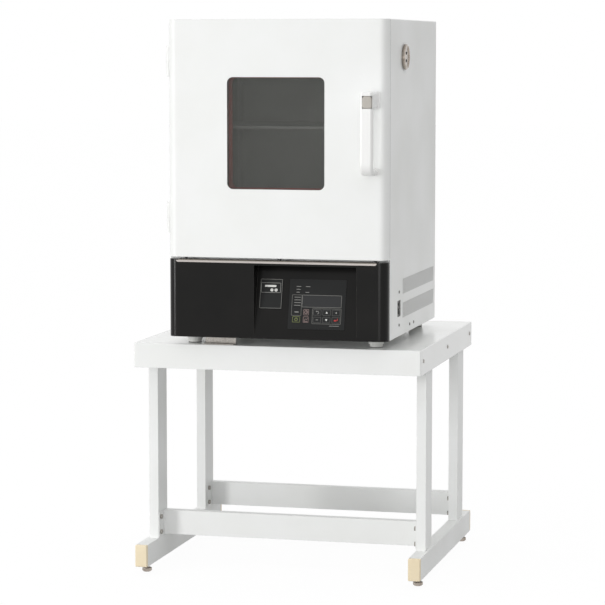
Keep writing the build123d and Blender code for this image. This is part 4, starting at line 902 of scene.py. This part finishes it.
east, north = np.meshgrid([-floor_reach, floor_reach], [-floor_reach, floor_reach], indexing="xy")
floor_points, floor_quads = surface(np.stack([east, north, np.zeros((2, 2))], axis=-1), wrap_columns=False)
floor_mesh = bpy.data.meshes.new("studio_floor")
floor_mesh.from_pydata(floor_points.tolist(), [], floor_quads.tolist())
floor = bpy.data.objects.new("studio_floor", floor_mesh)
scene.collection.objects.link(floor)
ground = bpy.data.materials.new("studio_ground")
ground.use_nodes = True
tree = ground.node_tree
tree.nodes.clear()
paper = tree.nodes.new("ShaderNodeBsdfDiffuse")
paper.inputs["Color"].default_value = floor_tone
glow = tree.nodes.new("ShaderNodeEmission")
glow.inputs["Strength"].default_value = floor_glow
share = tree.nodes.new("ShaderNodeMath")
share.operation = "MULTIPLY"
share.inputs[1].default_value = glow_share
tree.links.new(seen_directly(tree), share.inputs[0])
mixed = tree.nodes.new("ShaderNodeMixShader")
tree.links.new(share.outputs[0], mixed.inputs[0])
tree.links.new(paper.outputs[0], mixed.inputs[1])
tree.links.new(glow.outputs[0], mixed.inputs[2])
out = tree.nodes.new("ShaderNodeOutputMaterial")
tree.links.new(mixed.outputs[0], out.inputs["Surface"])
floor_mesh.materials.append(ground)
print("a floor of", 2 * floor_reach, "m")

# %% World
horizon_fill, zenith_fill = 0.33, 1.16
world = bpy.data.worlds.new("studio")
scene.world = world
world.use_nodes = True
tree = world.node_tree
tree.nodes.clear()
sky = tree.nodes.new("ShaderNodeBackground")
sky.inputs["Color"].default_value = (1, 1, 1, 1)
direction = tree.nodes.new("ShaderNodeTexCoord")
upwards = tree.nodes.new("ShaderNodeSeparateXYZ")
tree.links.new(direction.outputs["Generated"], upwards.inputs[0])
fill = tree.nodes.new("ShaderNodeMapRange")
fill.inputs["To Min"].default_value = horizon_fill
fill.inputs["To Max"].default_value = zenith_fill
tree.links.new(upwards.outputs["Z"], fill.inputs["Value"])
strength = tree.nodes.new("ShaderNodeMix")
strength.inputs[3].default_value = 1.0
tree.links.new(seen_directly(tree), strength.inputs[0])
tree.links.new(fill.outputs[0], strength.inputs[2])
tree.links.new(strength.outputs[0], sky.inputs["Strength"])
out = tree.nodes.new("ShaderNodeOutputWorld")
tree.links.new(sky.outputs[0], out.inputs["Surface"])
print("fill from", horizon_fill, "at the horizon to", zenith_fill, "overhead")

# %% Two soft boxes
def soft_box(name, place, target, width, height, power):
    """A lamp that looks from its place to its target."""
    made = bpy.data.objects.new(name, bpy.data.lights.new(name, "AREA"))
    made.data.shape = "RECTANGLE"
    made.data.size = width
    made.data.size_y = height
    made.data.energy = power
    made.location = place
    way = np.array(target) - np.array(place)
    made.rotation_euler = (np.arctan2(np.hypot(way[0], way[1]), -way[2]), 0, np.arctan2(-way[0], way[1]))
    scene.collection.objects.link(made)
    print(name, "of", power, "watts")


soft_box("front_box", (0.8, -7.0, 0.9), (0, 0, 0.4), width=2.4, height=3.2, power=88)
soft_box("left_box", (-4.8, -5.0, 1.3), (0, 0, 0.6), width=1.6, height=2.6, power=178)
scene.view_settings.view_transform = "Standard"
